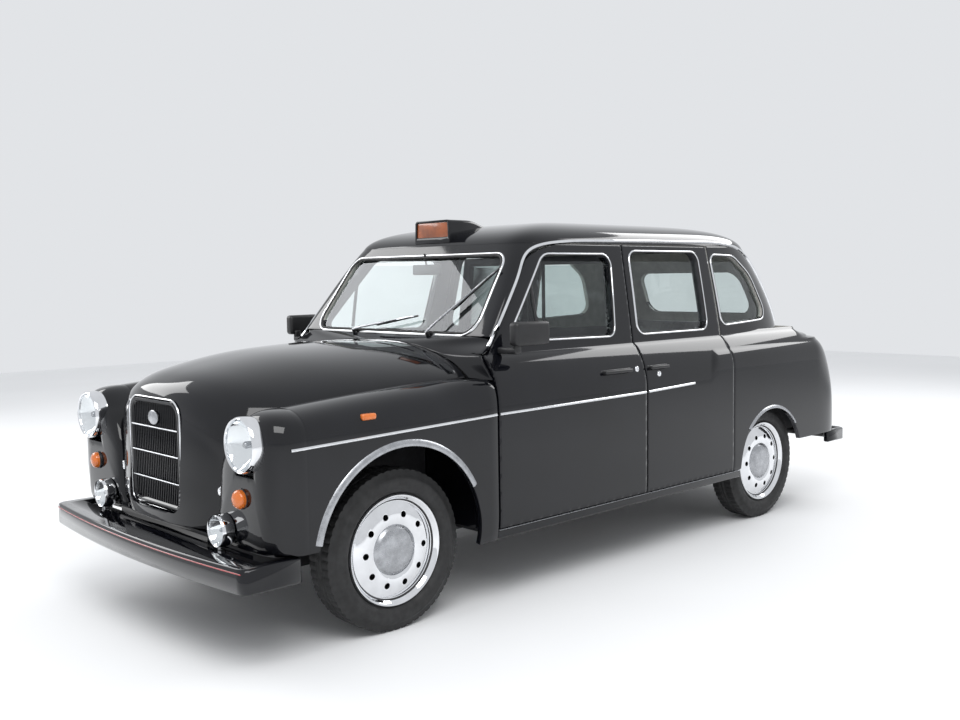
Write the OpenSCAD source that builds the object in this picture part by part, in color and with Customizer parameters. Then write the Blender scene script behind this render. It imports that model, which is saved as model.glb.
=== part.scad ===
// London style taxi cab: separate body panels, doors, glass, running gear and cabin.
// Front of the cab faces -Y, its left side is +X, the ground is z = 0.

/* [Overall] */
// Length over both bumpers
overall_len = 4580; // [4400:10:4800]
// Distance between the two axles
wheelbase = 2810; // [2700:10:2950]
// Front bumper face to the front axle
front_overhang = 810; // [780:5:850]
// Half width of the body at its widest
half_w = 868; // [840:2:900]
// Height of the roof crown
roof_h = 1775; // [1720:5:1850]
// Distance between the left and right wheel centres
track = 1422; // [1380:2:1460]

/* [Cabin] */
// Height of the belt line under the windows
belt_z = 1125; // [1090:5:1150]
// Height of the drip rail over the doors
rail_z = 1640; // [1600:5:1680]
// Half width at the belt line
belt_w = 772; // [740:2:800]
// Half width at the drip rail
rail_w = 668; // [640:2:700]
// Front axle to the front edge of the front door
door_setback = 520; // [500:5:560]
// Length of the front door along the sill
front_door_len = 1060; // [1000:10:1100]
// Rear edge of the rear door to the rear axle
quarter_len = 430; // [400:5:460]
// Shut gap around a door, bonnet or lid
shut_gap = 8; // [7:0.5:12]
// Thickness of a door
door_t = 48; // [40:2:60]
// Thickness of a fixed body panel with its frame
panel_t = 26; // [20:2:36]
// Thickness of the window glass
glass_t = 5; // [4:0.5:8]

/* [Wheels] */
// Radius of the tyre
tyre_r = 342; // [330:1:355]
// Width of the tyre
tyre_w = 170; // [150:2:185]
// Radius of the wheel rim
rim_r = 225; // [215:1:235]
// Radius of the front wheel arch
front_arch_r = 425; // [400:1:440]
// Radius of the rear wheel arch
rear_arch_r = 332; // [320:1:360]
// Diameter of the hub bore
hub_bore = 54; // [40:1:70]
// Steering pivot inboard of the wheel centre
kingpin_offset = 75; // [60:1:100]

/* [Hidden] */

paint = "#14151a";
chrome = "#c8ccd2";
black_trim = "#1c1c1e";
underbody = "#26282c";

// Fore and aft stations
nose_y = -overall_len / 2;
n_y = nose_y;
front_axle_y = nose_y + front_overhang;
rear_axle_y = front_axle_y + wheelbase;
tail_y = overall_len / 2 - 59;
door_front_y = front_axle_y + door_setback;
a_y = door_front_y;
b_line_y = door_front_y + front_door_len;
door_rear_y = rear_axle_y - quarter_len;
rear_round_y = tail_y - 531;
cab_mid_y = (door_front_y + rear_round_y) / 2 + 110;
wheel_x = track / 2;
kingpin_x = wheel_x - kingpin_offset;
sill_z = 352;
lid_hinge = [0, tail_y - 373, belt_z + 17];
lid_w = 540;
fit = 0.3;
kingpin_r = 30;
bead_half = 60;

// ---------- curve and surface helpers ----------
function mix(a, b, t) = a + (b - a) * t;
function clamp01(t) = max(0, min(1, t));
function ramp(a, b, x) = let (t = clamp01((x - a) / (b - a))) t * t * (3 - 2 * t);
function pw(a, b) = pow(max(a, 0), b);

// Smooth curve through the points p, with t from 0 to len(p) - 1
function spline(p, t) = let (
        n = len(p) - 1,
        i = min(n - 1, max(0, floor(t))),
        f = t - i,
        a = p[max(0, i - 1)],
        b = p[i],
        c = p[i + 1],
        d = p[min(n, i + 2)]
    ) 0.5 * (2 * b + (c - a) * f + (2 * a - 5 * b + 4 * c - d) * f * f
        + (3 * b - a - 3 * c + d) * f * f * f);

// Unit normal of the grid g at row i, column j
function grid_normal(g, i, j) = let (
        r = len(g) - 1,
        c = len(g[0]) - 1,
        a = g[min(i + 1, r)][j] - g[max(i - 1, 0)][j],
        b = g[i][min(j + 1, c)] - g[i][max(j - 1, 0)],
        n = cross(a, b)
    ) n / max(norm(n), 0.0001);

// The grid g moved by t against its normals
function inset_grid(g, t) = [for (i = [0:len(g) - 1])
    [for (j = [0:len(g[0]) - 1]) g[i][j] - t * grid_normal(g, i, j)]];

// Closed solid between two grids of the same size; the first is on the outside
module slab(outer, inner, flip = false) {
    rows = len(outer);
    cols = len(outer[0]);
    n = rows * cols;
    pts = concat([for (r = outer) for (p = r) p], [for (r = inner) for (p = r) p]);
    top = [for (i = [0:rows - 2]) for (j = [0:cols - 2]) let (a = i * cols + j)
        each [[a, a + 1, a + cols + 1], [a, a + cols + 1, a + cols]]];
    under = [for (f = top) [f[2] + n, f[1] + n, f[0] + n]];
    edge = concat([for (j = [0:cols - 2]) j],
        [for (i = [0:rows - 2]) i * cols + cols - 1],
        [for (j = [0:cols - 2]) rows * cols - 1 - j],
        [for (i = [0:rows - 2]) (rows - 1 - i) * cols]);
    rim = [for (k = [0:len(edge) - 1]) let (a = edge[k], b = edge[(k + 1) % len(edge)])
        each [[b, a, a + n], [b, a + n, b + n]]];
    faces = concat(top, under, rim);
    polyhedron(pts, flip ? [for (f = faces) [f[2], f[1], f[0]]] : faces);
}

// Grid of the left half, from the middle outwards, made whole by its mirror image
function swing(p) = [-p[0], p[1], p[2]];
function whole(g) = [for (r = g) concat([for (j = [len(r) - 1:-1:1]) swing(r[j])], r)];

// Panel of thickness t whose outer face is the grid g
module shell(g, t, flip = false) slab(g, inset_grid(g, flip ? -t : t), flip);

// Solid through a list of closed rings with the same number of points
module skin(rings, flip = false) {
    m = len(rings[0]);
    k = len(rings);
    pts = [for (r = rings) for (p = r) p];
    sides = [for (i = [0:k - 2]) for (j = [0:m - 1]) let (a = i * m + j, b = i * m + (j + 1) % m)
        each [[a, b, b + m], [a, b + m, a + m]]];
    caps = [[for (j = [0:m - 1]) m - 1 - j], [for (j = [0:m - 1]) (k - 1) * m + j]];
    faces = concat(sides, caps);
    polyhedron(pts, flip ? [for (f = faces) [for (i = [len(f) - 1:-1:0]) f[i]]] : faces);
}

// Outline with its corners p rounded by the radii r
function round_poly(p, r, n = 5) = let (m = len(p)) [for (i = [0:m - 1]) let (
        a = p[i],
        u = (p[(i + m - 1) % m] - a) / norm(p[(i + m - 1) % m] - a),
        v = (p[(i + 1) % m] - a) / norm(p[(i + 1) % m] - a),
        half = acos(u * v) / 2,
        reach = r[i] / tan(half),
        c = a + (u + v) / norm(u + v) * r[i] / sin(half),
        s = a + u * reach - c,
        e = a + v * reach - c,
        turn = 180 - 2 * half,
        side = sign(u[0] * v[1] - u[1] * v[0])
    ) for (k = [0:n]) let (w = -side * turn * k / n)
        c + [s[0] * cos(w) - s[1] * sin(w), s[0] * sin(w) + s[1] * cos(w)]];

// Outline given as [y, z], swept across the cab in X
module across(p, x0, x1) translate([x0, 0, 0]) rotate([90, 0, 90])
    linear_extrude(x1 - x0) polygon(p);
// Outline given as [x, z], swept along the cab in Y
module along(p, y0, y1) translate([0, y1, 0]) rotate([90, 0, 0])
    linear_extrude(y1 - y0) polygon(p);
module mirrored() {
    children();
    mirror([1, 0, 0]) children();
}
module box(lo, hi) translate(lo) cube(hi - lo);

// ---------- cabin above the belt line ----------
function belt_frac(z) = pw((z - belt_z) / (rail_z - belt_z), 1);
function cab_half_w(z) = belt_w - (belt_w - rail_w) * pow(belt_frac(z), 1.15);
function cab_front(z) = door_front_y + 5 + 0.679 * (z - belt_z);
function cab_rear(z) = rear_round_y + 135 - 295 * pow(belt_frac(z), 1.6);
function cab_reach(z, ahead) = ahead ? cab_mid_y - cab_front(z) : cab_rear(z) - cab_mid_y;
function cab_power(z, ahead) = ahead ? mix(56, 14, min(1, belt_frac(z))) : 5;

// Point of the cabin at height z and bearing a: -90 is the front, 0 the left, 90 the rear
function cab_point(a, z, e = 0) = let (
        ahead = a < 0,
        n = cab_power(z, ahead),
        c = cos(a),
        s = sin(a),
        r = pow(pw(abs(c), n) + pw(abs(s), n), -1 / n)
    ) [(cab_half_w(z) - e) * r * c, cab_mid_y + (cab_reach(z, ahead) - e) * r * s, z];

// Point of the roof crown: t is 0 at the drip rail and 1 at the middle
function roof_point(a, t, e = 0) = let (
        p0 = cab_point(a, rail_z, e),
        p1 = cab_point(a, rail_z + 0.8 * (roof_h - rail_z), e),
        mid = [0, cab_mid_y, roof_h - e],
        p2 = [mid[0] + 0.62 * (p0[0] - mid[0]), mid[1] + 0.62 * (p0[1] - mid[1]), mid[2]],
        u = 1 - t
    ) u * u * u * p0 + 3 * u * u * t * p1 + 3 * u * t * t * p2 + t * t * t * mid;

// Bearing of the point of the cabin side at station y
function cab_bearing(y, z) = let (
        ahead = y < cab_mid_y,
        n = cab_power(z, ahead),
        f = min(0.985, abs(y - cab_mid_y) / cab_reach(z, ahead)),
        w = pow(1 - pow(f, n), 1 / n)
    ) (ahead ? -1 : 1) * atan2(f, w);

// ---------- body side below the belt line ----------
shoulder_in = half_w - belt_w;
haunch_z = belt_z - 48;
function door_inset(z) = let (t = clamp01((z - belt_z + 255) / 255))
    shoulder_in * (1 - pow(1 - pow(t, 2.2), 0.75)) + 12 * pw((430 - z) / 130, 2);
function haunch_top(y) = mix(belt_z - 250, haunch_z, ramp(door_rear_y - 390, door_rear_y - 140, y));
function haunch_inset(y, z) = let (t = (z - haunch_top(y) + 165) / 165)
    t >= 1 ? half_w : shoulder_in * (1 - pow(1 - pow(max(t, 0), 3), 0.5)) + 12 * pw((430 - z) / 130, 2);
function side_inset(y, z) = min(door_inset(z), haunch_inset(y, z));
function side_x(y, z) = z > belt_z ? cab_point(cab_bearing(y, z), z)[0] : half_w - side_inset(y, z);

// Heights of the rows that a side panel is drawn with
low_rows = [for (z = [sill_z:74:belt_z - 255]) z];
mid_rows = [for (k = [0:8]) belt_z - 225 + k * 28];
top_rows = [for (k = [0:6]) mix(belt_z + 4, rail_z - 90, k / 6)];
end_rows = [for (k = [0:4]) rail_z - 72 + k * 16.5];
door_rows = concat(low_rows, mid_rows, top_rows, end_rows);

// Front edge of the front door: upright, then raked along the windscreen pillar
function door_edge_front(z) = z < belt_z ? door_front_y :
    door_front_y + 33 + 0.784 * (z - belt_z - 2) + 190 * pw((z - rail_z + 100) / 100, 2.5);
function b_line(z) = b_line_y + 4 * (z - sill_z) / 770 + 30 * pw((z - belt_z) / 515, 1.4);

function side_grid(y0, y1, rows, cols, drop = 0) = [for (z = rows)
    [for (j = [0:cols]) let (y = mix(y0(z), y1(z), j / cols)) [side_x(y, z) - drop, y, z]]];

// Door skin with bevelled edges, so that its inner corners swing clear
module door_slab(y0, y1, bevel0, bevel1) {
    cols = 11;
    outer = side_grid(y0, y1, door_rows, cols);
    inner = [for (r = outer) [for (j = [0:cols])
        r[j] + [-door_t, j == 0 ? bevel0 : j == cols ? -bevel1 : 0, 0]]];
    slab(outer, inner, true);
}

front_window = round_poly([[door_front_y + 170, belt_z + 62], [b_line_y - 142, belt_z + 50],
    [b_line_y - 78, rail_z - 60], [door_front_y + 490, rail_z - 60]], [40, 46, 50, 90]);
rear_window_outline = round_poly([[b_line_y + 58, belt_z + 50], [door_rear_y - 125, belt_z + 50],
    [door_rear_y - 108, rail_z - 42], [b_line_y + 90, rail_z - 42]], [50, 50, 50, 50]);
quarter_outline = round_poly([[door_rear_y + 34, belt_z + 66], [door_rear_y + 560, belt_z + 86],
    [door_rear_y + 440, rail_z - 170], [door_rear_y + 280, rail_z - 62],
    [door_rear_y + 30, rail_z - 56]], [46, 60, 200, 120, 46]);
screen_outline = round_poly([[-632, belt_z + 94], [632, belt_z + 94], [594, rail_z - 62],
    [-594, rail_z - 62]], [70, 70, 60, 60]);
backlight_outline = round_poly([[-430, belt_z + 92], [430, belt_z + 92], [400, rail_z - 150],
    [-400, rail_z - 150]], [80, 80, 90, 90]);

module handle(y0, y1) {
    zh = 995;
    x = side_x((y0 + y1) / 2, zh);
    box([x - 12, y0, zh - 16], [x + 6, y1, zh + 16]);
    box([x + 5, y0 + 10, zh + 2], [x + 30, y1 - 10, zh + 12]);
    box([x + 5, y0 + 10, zh - 8], [x + 12, y0 + 40, zh + 12]);
}

front_y0 = function (z) door_edge_front(z) + shut_gap / 2;
front_y1 = function (z) b_line(z) - shut_gap / 2;
rear_y0 = function (z) b_line(z) + shut_gap / 2;
rear_y1 = function (z) door_rear_y - shut_gap / 2;

module front_door() color(paint) {
    difference() {
        door_slab(front_y0, front_y1, 0, 20);
        across(front_window, 400, 1000);
    }
    handle(b_line_y - 345, b_line_y - 105);
}
module rear_door() color(paint) {
    difference() {
        door_slab(rear_y0, rear_y1, 20, 0);
        across(rear_window_outline, 400, 1000);
    }
    handle(b_line_y + 20, b_line_y + 200);
}

// Pane that follows the cabin side inside a window outline
module side_pane(y0, y1, outline) color("#9fb4bd", 0.4) intersection() {
    slab([for (z = top_rows) [for (j = [0:8]) let (y = mix(y0, y1, j / 8)) [side_x(y, z) - 18, y, z]]],
        [for (z = top_rows) [for (j = [0:8]) let (y = mix(y0, y1, j / 8))
            [side_x(y, z) - 18 - glass_t, y, z]]], true);
    across(outline, 400, 1000);
}
module front_glass() side_pane(a_y + 160, b_line_y - 76, front_window);
module rear_glass() side_pane(b_line_y + 56, door_rear_y - 106, rear_window_outline);

// ---------- cabin panels ----------
half_bearings = [-90, -80, -68, -58, -52, -48, -45, -42, -37, -28, -12, 6, 24, 36, 43, 49, 56,
    66, 78];
function roof_ring(t, e = 0) = concat([for (a = half_bearings) roof_point(a, t, e)],
    [roof_point(90, t, e)],
    [for (i = [len(half_bearings) - 1:-1:1]) swing(roof_point(half_bearings[i], t, e))]);
roof_steps = [0, 0.1, 0.2, 0.32, 0.48, 0.68, 0.9];

// Height of the roof along the middle of the cab at step t
function roof_spine(t) = [roof_point(-90, t)[1], roof_point(-90, t)[2]];

function cab_patch(a0, a1, rows, cols, e = 0) = [for (z = rows)
    [for (j = [0:cols]) cab_point(mix(a0(z), a1(z), j / cols), z, e)]];

front_rows = [for (k = [0:9]) mix(belt_z + 82, rail_z + 12, k / 9)];
rear_rows = [for (k = [0:9]) mix(belt_z - 4, rail_z, k / 9)];
middle_front = function (z) -90;
middle_rear = function (z) 90;
pillar_edge = function (z) cab_bearing(door_edge_front(z) - shut_gap / 2, z);
quarter_edge = function (z) cab_bearing(door_rear_y + shut_gap / 2, z);
split_bearing = 58;
split_low = function (z) split_bearing - 18;
split_high = function (z) split_bearing + 8;

// Side view of the space behind the front edge of the front door, which fixed panels keep out of
corner_z = belt_z + 4;
function corner_lift(z) = 0.8 * shut_gap * ramp(rail_z - 150, rail_z - 80, z);
door_space = concat([[a_y - shut_gap / 2, sill_z], [a_y - shut_gap / 2, corner_z + 0.6 * shut_gap],
    [door_edge_front(corner_z) - shut_gap / 2, corner_z + shut_gap]],
    [for (z = concat(top_rows, end_rows, [rail_z + 12])) if (z > corner_z)
        [door_edge_front(z) - shut_gap / 2, z + corner_lift(z)]],
    [[cab_mid_y, rail_z + 20], [cab_mid_y, sill_z]]);

module roof_panel() color(paint) {
    skin(concat([for (k = [len(roof_steps) - 1:-1:0]) roof_ring(roof_steps[k])],
        [for (t = roof_steps) roof_ring(t, panel_t)]));
    difference() {
        shell(whole(cab_patch(middle_front, pillar_edge, front_rows, 14, 0.8)), panel_t, true);
        along(screen_outline, door_front_y - 200, door_front_y + 600);
        across(door_space, -half_w, half_w);
    }
}

// Face of the cabin at x across and z up, for flat panes
function face_y(x, z, ahead) = let (n = cab_power(z, ahead)) cab_mid_y
    + (ahead ? -1 : 1) * cab_reach(z, ahead) * pow(1 - pow(abs(x) / cab_half_w(z), n), 1 / n);
module face_pane(outline, half, rows, ahead) color("#9fb4bd", 0.4) intersection() {
    inward = ahead ? 1 : -1;
    outer = [for (z = rows) [for (j = [-6:6])
        [half * j / 6, face_y(half * j / 6, z, ahead) + 12 * inward, z]]];
    slab(outer, [for (r = outer) [for (p = r) p + [0, glass_t * inward, 0]]], ahead);
    along(outline, door_front_y - 300, tail_y);
}
module windscreen() face_pane(screen_outline, 636,
    [for (k = [0:5]) mix(belt_z + 90, rail_z - 58, k / 5)], true);
module rear_window() face_pane(backlight_outline, 434,
    [for (k = [0:5]) mix(belt_z + 88, rail_z - 146, k / 5)], false);
module quarter_windows() mirrored() side_pane(door_rear_y + 26, door_rear_y + 566, quarter_outline);

// ---------- tail ----------
deck_z = belt_z + 25;
rear_bumper_top = 453;
function tail_k(a, z) = let (
        side_k = 1 - side_inset(rear_round_y, min(z, belt_z)) / half_w,
        flat_k = (1 - shoulder_in / half_w) * sqrt(pw(1 - pw((z - haunch_z) / (deck_z - haunch_z), 2), 1)),
        flank_k = z < haunch_z ? side_k : mix(side_k, flat_k, ramp(0, 25, a)),
        back_k = pow(pw(1 - pw((z - 520) / (deck_z - 520), 2.6), 1), 1 / 2.6)
    ) mix(flank_k, back_k, ramp(15, 70, a));
function tail_point(a, z) = let (
        r = pow(pow(cos(a), 5.5) + pow(sin(a), 5.5), -1 / 5.5),
        k = tail_k(a, z) * r
    ) [half_w * k * cos(a), rear_round_y + (tail_y - rear_round_y) * k * sin(a), z];

quarter_rows = concat([sill_z, 436, 520, 610, 700, 790, 860, 905], [for (k = [0:6]) 935 + k * 23.6],
    [haunch_z + 16, haunch_z + 34, belt_z, deck_z - 14, deck_z - 7, deck_z - 4]);
tail_bearings = [8, 18, 28, 35, 40, 44, 48, 53, 60];
back_bearings = [90, 80, 70, 60, 54, 50, 46, 42, 37, 30, 20, 8];
module back_cut() box([-2000, rear_axle_y - 18, 200], [2000, tail_y + 100, rear_bumper_top + fit]);
module wheel_arch(y, z, r) translate([0, y, z]) rotate([0, 90, 0])
    cylinder(r = r, h = 3000, center = true, $fn = 96);

// Upright post that follows the inside of the doors
module post(y0, y1, z1, drop, t) {
    rows = [for (z = door_rows) if (z <= z1) z];
    outer = [for (z = rows) [for (y = [y0, y1]) [side_x(y, z) - drop, y, z]]];
    slab(outer, [for (r = outer) [for (p = r) p - [t, 0, 0]]], true);
}

module body_side() color(paint) {
    difference() {
        union() {
            shell([for (z = quarter_rows) concat(
                [for (j = [0:9]) let (y = mix(door_rear_y + shut_gap / 2, rear_round_y, j / 9))
                    [half_w - side_inset(y, min(z, belt_z)) - pw(z - belt_z, 1), y, z]],
                [for (a = tail_bearings) tail_point(a, z)])], panel_t, true);
            shell(cab_patch(quarter_edge, split_high, rear_rows, 12, 0.8), panel_t, true);
        }
        wheel_arch(rear_axle_y - 18, tyre_r + 3, rear_arch_r);
        back_cut();
        across(quarter_outline, 400, 1000);
        box([-lid_w - shut_gap, 0, 0], [lid_w + shut_gap, 3000, 2000]);
        for (z = [650, 770]) tail_lamp(z, 48 + fit);
    }
    box([half_w - 112, door_front_y - 8, 298], [half_w - 22, door_rear_y + 90, sill_z - 6]);
    post(b_line_y - 45, b_line_y + 60, rail_z, door_t + shut_gap, 46);
    post(door_front_y - 40, door_front_y + 55, 940, door_t + shut_gap, 46);
    post(door_rear_y - 50, door_rear_y + 30, 1080, door_t + shut_gap, 30);
}
module tail_lamp(z, r) translate([690, tail_y + 8, z]) rotate([90, 0, 0])
    cylinder(r = r, h = 95, $fn = 48);

module back_shell()
    shell(whole([for (z = quarter_rows) [for (a = back_bearings) tail_point(a, z)]]), panel_t);
module lid_space(gap) box([-lid_w - gap, lid_hinge[1] - gap, 520 - gap], [lid_w + gap, 3000, 2000]);
module rear_panel() color(paint) difference() {
    union() {
        back_shell();
        shell(whole(cab_patch(middle_rear, split_low, rear_rows, 8, 0.8)), panel_t);
    }
    lid_space(0);
    back_cut();
    along(backlight_outline, rear_round_y - 500, tail_y);
    mirrored() box([lid_w + shut_gap - fit, 0, 0], [2000, 3000, 2000]);
}
module boot_lid() color(paint) intersection() {
    back_shell();
    lid_space(-shut_gap);
}
module tail_lamps() color("#8c1a16") mirrored() for (z = [650, 770]) tail_lamp(z, 48);

// ---------- bonnet, scuttle and wings ----------
spine = [[0, a_y - 35, belt_z + 55], [0, a_y - 310, belt_z + 53], [0, a_y - 690, belt_z + 33],
    [0, n_y + 340, belt_z - 17], [0, n_y + 205, belt_z - 62], [0, n_y + 146, belt_z - 118],
    [0, n_y + 132, belt_z - 225], [0, n_y + 122, belt_z - 425], [0, n_y + 112, belt_z - 565],
    [0, n_y + 114, belt_z - 647]];
valley = [[700, a_y - 45, belt_z - 100], [692, a_y - 240, belt_z - 107],
    [655, a_y - 600, belt_z - 140],
    [600, n_y + 460, belt_z - 180], [540, n_y + 305, belt_z - 235], [485, n_y + 240, belt_z - 310],
    [450, n_y + 218, belt_z - 385], [438, n_y + 212, belt_z - 485], [425, n_y + 208, belt_z - 575],
    [405, n_y + 204, belt_z - 647]];
function bulge(u) = 1 - pow(1 - pow(abs(u), 2.4), 0.75);
function bonnet_point(u, v) = let (c = spline(spine, v), e = spline(valley, v), g = bulge(u))
    [e[0] * u, mix(c[1], e[1], g), mix(c[2], e[2], g)];
bonnet_cols = [for (j = [-10:10]) sin(9 * j)];
bonnet_rows = [for (v = [0:0.5:9]) v];

grille_outline = round_poly([[-226, 524], [226, 524], [226, 986], [-226, 986]], [48, 48, 75, 75]);
module bonnet() color(paint) difference() {
    shell([for (v = bonnet_rows) [for (u = bonnet_cols) bonnet_point(u, v)]], panel_t);
    along(grille_outline, n_y, n_y + 300);
}
module radiator_grille() color(black_trim) {
    g0 = n_y + 150;
    difference() {
        along(grille_outline, g0, g0 + 30);
        along(round_poly([[-206, 544], [206, 544], [206, 966], [-206, 966]], [40, 40, 60, 60]),
            g0 - 1, g0 + 31);
    }
    for (k = [-11:11]) box([k * 17.6 - 3, g0 + 4, 540], [k * 17.6 + 3, g0 + 24, abs(k) > 9 ? 950 : 970]);
    for (z = [640, 752, 862]) box([-208, g0 + 2, z - 4], [208, g0 + 10, z + 4]);
}

function scuttle_back(u) = spline([[0, cab_front(belt_z + 80), belt_z + 80],
    [330, cab_front(belt_z + 80), belt_z + 80], [640, cab_front(belt_z + 78), belt_z + 78],
    [746, a_y + 70, belt_z + 58], [belt_w - 3, a_y - 8, belt_z - 5], [half_w - 28, a_y - 8, belt_z - 105]],
    5 * u);
function scuttle_point(u, t) = let (
        f = bonnet_point(u, 0) + [u > 0.9 ? 60 * (u - 0.9) : 0, shut_gap, 0],
        b = scuttle_back(u)
    ) mix(f, b, t);
module scuttle_panel() color(paint) scuttle_solid();
module scuttle_solid() {
    difference() {
        shell(whole([for (t = [0:0.25:1]) [for (j = [0:12]) scuttle_point(sin(7.5 * j), t)]]),
            panel_t / 2, true);
        mirrored() across(door_space, 700, half_w);
    }
    box([-half_w + 135, a_y - 27, sill_z - 14], [half_w - 135, a_y - 9, 1000]);
}

function crown_x(y) = mix(692, 800, ramp(a_y - 340, a_y - 8, y));
function crown_z(y) = belt_z - 94 - 59 * pw((a_y - 145 - y) / 988, 1.5) - 9 * ramp(a_y - 145, a_y - 8, y);
function wing_section(v, low) = let (
        e = spline(valley, v) + [shut_gap, 0, -6],
        y = v == 0 ? a_y - 8 : e[1],
        xc = crown_x(y),
        zc = crown_z(y),
        zs = belt_z - 265
    ) concat(
        [for (t = [0:0.25:0.75]) [mix(e[0], xc, t), y, mix(e[2], zc, sin(90 * t))]],
        [for (w = [0:15:90]) [xc + (half_w - xc) * pow(sin(w), 0.8), y, zs + (zc - zs) * pow(cos(w), 0.8)]],
        [for (k = [1:6]) let (z = mix(zs, low, k / 6)) [half_w - 12 * pw((430 - z) / 130, 2), y, z]]);
wing_nose_v = 3.8;
lamp_c = [692, n_y + 172, 856];
wing_low = 436;
function wing_rim() = let (s = wing_section(wing_nose_v, wing_low)) concat(
    [for (v = [4.2:0.6:8.8]) spline(valley, v) + [shut_gap, 0, -6]],
    [[415, n_y + 206, wing_low], [560, n_y + 195, wing_low], [720, n_y + 197, wing_low],
        [805, n_y + 218, wing_low]],
    [for (i = [len(s) - 1:-1:0]) s[i]]);
function wing_ring(s, back) = [for (q = wing_rim()) let (f = pow(1 - pow(s, 3.2), 1 / 3.2))
    [mix(lamp_c[0], q[0], s * (back > 0 ? 0.96 : 1)), q[1] - (q[1] - lamp_c[1]) * f + back,
        mix(lamp_c[2], q[2], s * (back > 0 ? 0.96 : 1))]];
module front_wing() color(paint) difference() {
    union() {
        shell([for (k = [0:8]) wing_section(wing_nose_v * k / 8, 300)], panel_t, false);
        skin(concat([for (s = [0.1, 0.35, 0.55, 0.7, 0.82, 0.92, 0.98, 1]) wing_ring(s, 0)],
            [for (s = [1, 0.9, 0.6, 0.1]) wing_ring(s, panel_t)]), false);
    }
    wheel_arch(front_axle_y - 15, tyre_r + 28, front_arch_r);
    box([500, n_y, 200], [1000, front_axle_y - 200, wing_low]);
    lamp_disc(lamp_c, 110 + fit, 100);
    lamp_disc([652, n_y + 166, 644], 39 + fit, 60);
    scuttle_solid();
}
module lamp_disc(c, r, h) translate(c) rotate([-90, 0, 0]) cylinder(r = r, h = h, $fn = 64);
module headlamps() color(chrome) mirrored() lamp_disc(lamp_c - [0, 26, 0], 110, 60);
module indicators() color("#c8641e") mirrored() lamp_disc([652, n_y + 158, 644], 39, 36);
module fog_lamps() color(chrome) mirrored() {
    lamp_disc([532, n_y + 112, 508], 65, 50);
    box([524, n_y + 125, 431], [540, n_y + 145, 450]);
}

// ---------- bumpers and valance ----------
bumper_top = 430.7;
module front_bumper() color(paint) translate([0, 0, 330]) linear_extrude(bumper_top - 330) polygon(concat(
    [for (k = [-10:10]) let (x = 84.2 * k) [x, n_y + 49 * pow(k / 10, 2)]],
    [[862, n_y + 75], [862, n_y + 297], [802, n_y + 297], [802, n_y + 160],
        [-802, n_y + 160], [-802, n_y + 297], [-862, n_y + 297], [-862, n_y + 75]]));
module front_valance() color(paint) {
    box([-700, n_y + 160 + fit, 345], [700, n_y + 185, wing_low - 6]);
    box([-395, n_y + 160 + fit, wing_low - 6], [395, n_y + 185, 470]);
}
module rear_bumper() color(paint) {
    translate([0, 0, 374]) linear_extrude(rear_bumper_top - 374) polygon(concat(
        [for (k = [10:-1:-10]) let (x = 80 * k) [x, overall_len / 2 - 26 * pow(k / 10, 2)]],
        [[-838, tail_y], [-838, tail_y - 190], [-800, tail_y - 190], [-800, tail_y - 12],
            [800, tail_y - 12], [800, tail_y - 190], [838, tail_y - 190], [838, tail_y]]));
    mirrored() box([305, tail_y - 101, 400], [375, tail_y - 12, 450]);
}

// ---------- chassis ----------
kick_y = rear_axle_y - 380;
rise_y = kick_y + 30;
module rail() across([[n_y + 185 + fit, 238], [rise_y, 238], [rise_y + 160, 400], [tail_y - 101, 400],
    [tail_y - 101, 480], [rise_y + 140, 480], [rise_y - 20, 318], [n_y + 185 + fit, 318]], 305, 375);
module chassis_frame() color(underbody) {
    mirrored() rail();
    for (y = [n_y + 190, front_axle_y - 60, a_y - 60, 0, 600]) box([-305, y, 246], [305, y + 90, 310]);
    for (y = [rear_axle_y + 250, tail_y - 180]) box([-305, y, 405], [305, y + 70, 475]);
    for (y = [front_axle_y - 300, front_axle_y + 330]) {
        box([-305, y, 318], [305, y + 60, 420]);
        mirrored() box([305, y, 318], [375, y + 60, 420]);
    }
    mirrored() box([375, n_y + 250, 250], [388, a_y - 30, 850]);
}
module floor_pan() color(underbody) {
    box([-745, a_y - 8, 318], [745, kick_y - 10, 338]);
    box([-530, kick_y - 10, 318], [530, kick_y + 10, 498]);
    box([-530, kick_y + 160, 480], [530, tail_y - 70, 498]);
    mirrored() box([530, kick_y - 10, 440], [545, tail_y - 140, 760]);
    box([-530, kick_y + 10, 486], [530, kick_y + 160, 498]);
}
module engine_block() color("#5a5d60")
    box([-230, front_axle_y - 330, 420 + fit], [230, front_axle_y + 410, 880]);
module fuel_tank() color("#3a3c40")
    box([-280, rear_axle_y + 335, 300], [280, rear_axle_y + 645, 480 - fit]);

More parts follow.
